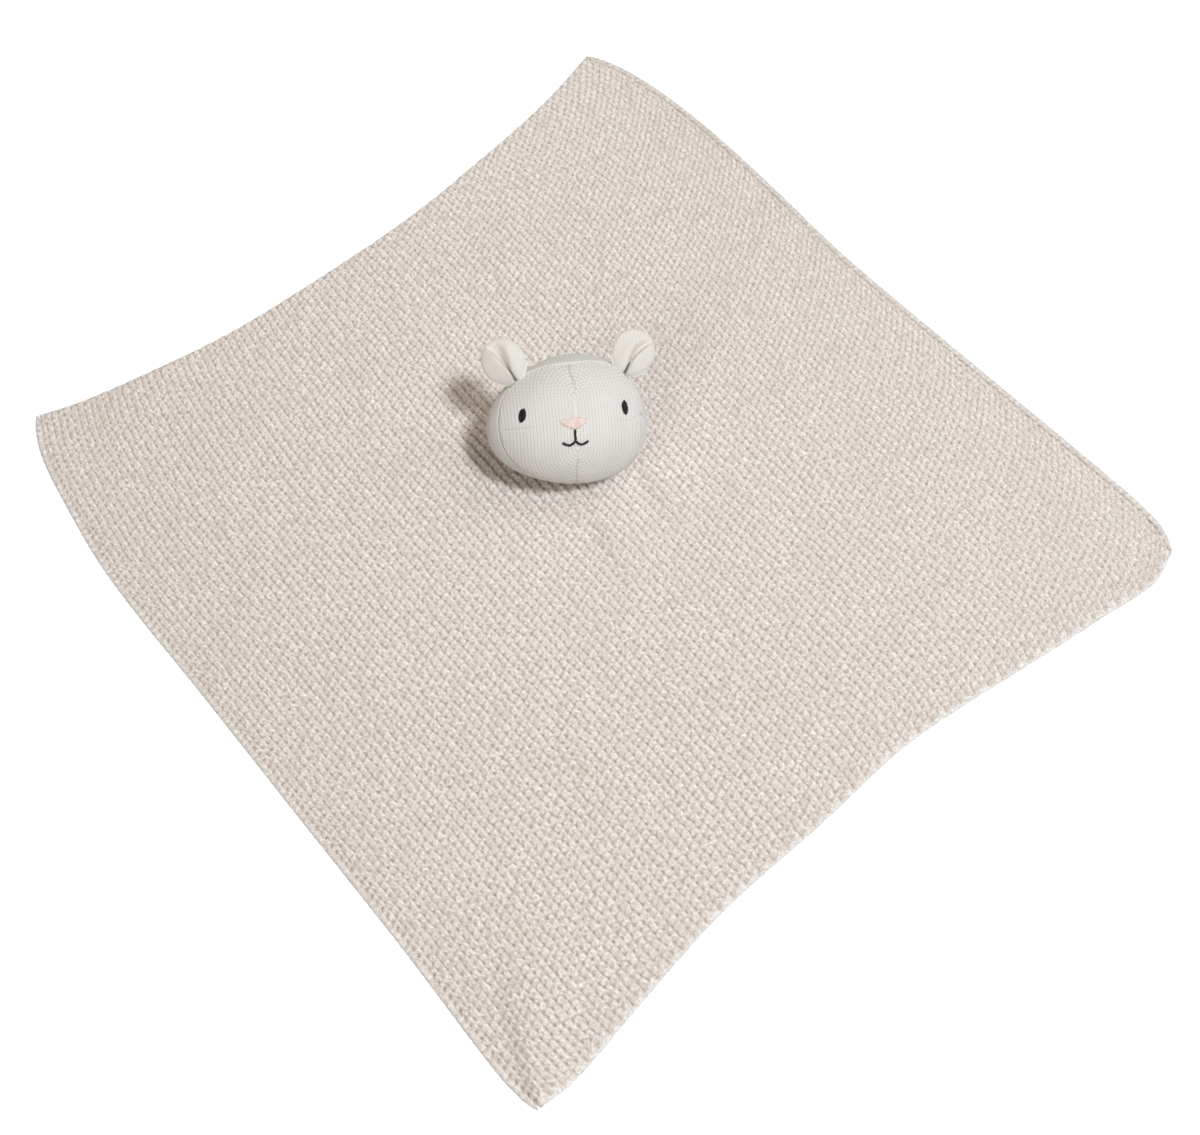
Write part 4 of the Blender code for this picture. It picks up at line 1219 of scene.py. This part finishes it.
def make_camera():
    camera = bpy.data.cameras.new("camera")
    camera.sensor_width = SENSOR
    camera.lens = FOCAL_PIXELS / PHOTO_WIDTH * SENSOR
    camera.clip_start, camera.clip_end = 0.01, 100
    holder = add_object("camera", camera)
    target = Vector((*(np.array(CAMERA_TARGET_SHARES) * CLOTH_SIDE - MIDDLE), 0))
    back = direction(CAMERA_AZIMUTH, CAMERA_ELEVATION)
    holder.location = target + back * CAMERA_DISTANCE_SHARE * CLOTH_SIDE
    holder.rotation_mode = "QUATERNION"
    holder.rotation_quaternion = (-back).to_track_quat("-Z", "Y")
    bpy.context.scene.camera = holder


def dress():
    knit = knit_material()
    # The second colour of each jersey is the painted shade in the hollows between its stitches
    jersey = jersey_material("cream_jersey", srgb(247, 247, 246), srgb(128, 119, 106))
    ear_jersey = jersey_material("ear_jersey", srgb(247, 246, 243), srgb(182, 175, 163))
    cream = thread_material("cream_thread", srgb(236, 231, 222), srgb(214, 204, 190))
    black = thread_material("black_thread", srgb(40, 41, 43), srgb(20, 21, 23), 0.45)
    pink = thread_material("pink_thread", srgb(245, 226, 223), srgb(236, 213, 209))

    cloth = make_blanket(knit)
    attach(cloth, "blanket")
    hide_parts("blanket")
    for name, node, upper in (
        ("lower_left_band", "edge_band_left", False), ("upper_right_band", "edge_band_right", True)
    ):
        band = make_band(name, upper, knit)
        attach(band, "blanket")
        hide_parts(node)

    knot = make_neck_knot(cream)
    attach(knot, "neck")
    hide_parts("neck_stitches")

    face = make_cover("face_cover", True, FACE_RINGS, face_sink, face_map, jersey)
    back = make_cover("back_cover", False, BACK_RINGS, back_sink, back_map, jersey)
    filling, seam = make_filling(filling_material()), make_seam_thread(cream)
    left_eye = make_eye("eye_stitches_left", -1, black)
    right_eye = make_eye("eye_stitches_right", 1, black)
    nose = make_nose(pink)
    stem, smile = make_mouth(black)
    for piece, node in (
        (face, "face_panel"), (back, "back_panel"), (filling, "head_stuffing"),
        (seam, "seam_thread"), (left_eye, "eye_left"), (right_eye, "eye_right"), (nose, "nose"),
        (stem, "mouth_stem"), (smile, "mouth_smile"),
    ):
        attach(piece, "head")
        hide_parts(node)

    for name, hand, joint in (("left", -1, "ear_left_fold"), ("right", 1, "ear_right_fold")):
        ear = make_ear(f"{name}_ear", hand, joint, ear_jersey)
        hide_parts(f"ear_{name}_front", f"ear_{name}_back")


dress()
make_floor()
make_world()
make_camera()
make_lamp("key", 59, 65, 0.40, 54, (0.92, 0.965, 1.0))
make_lamp("side", 122, 58, 1.4, 16, (1.0, 0.94, 0.86))
make_lamp("fill", 330, 40, 1.2, 14, (1.0, 0.92, 0.82))
make_lamp("top", 0, 84, 3.0, 19, (1.0, 0.87, 0.71))
bpy.context.scene.view_settings.view_transform = "Standard"
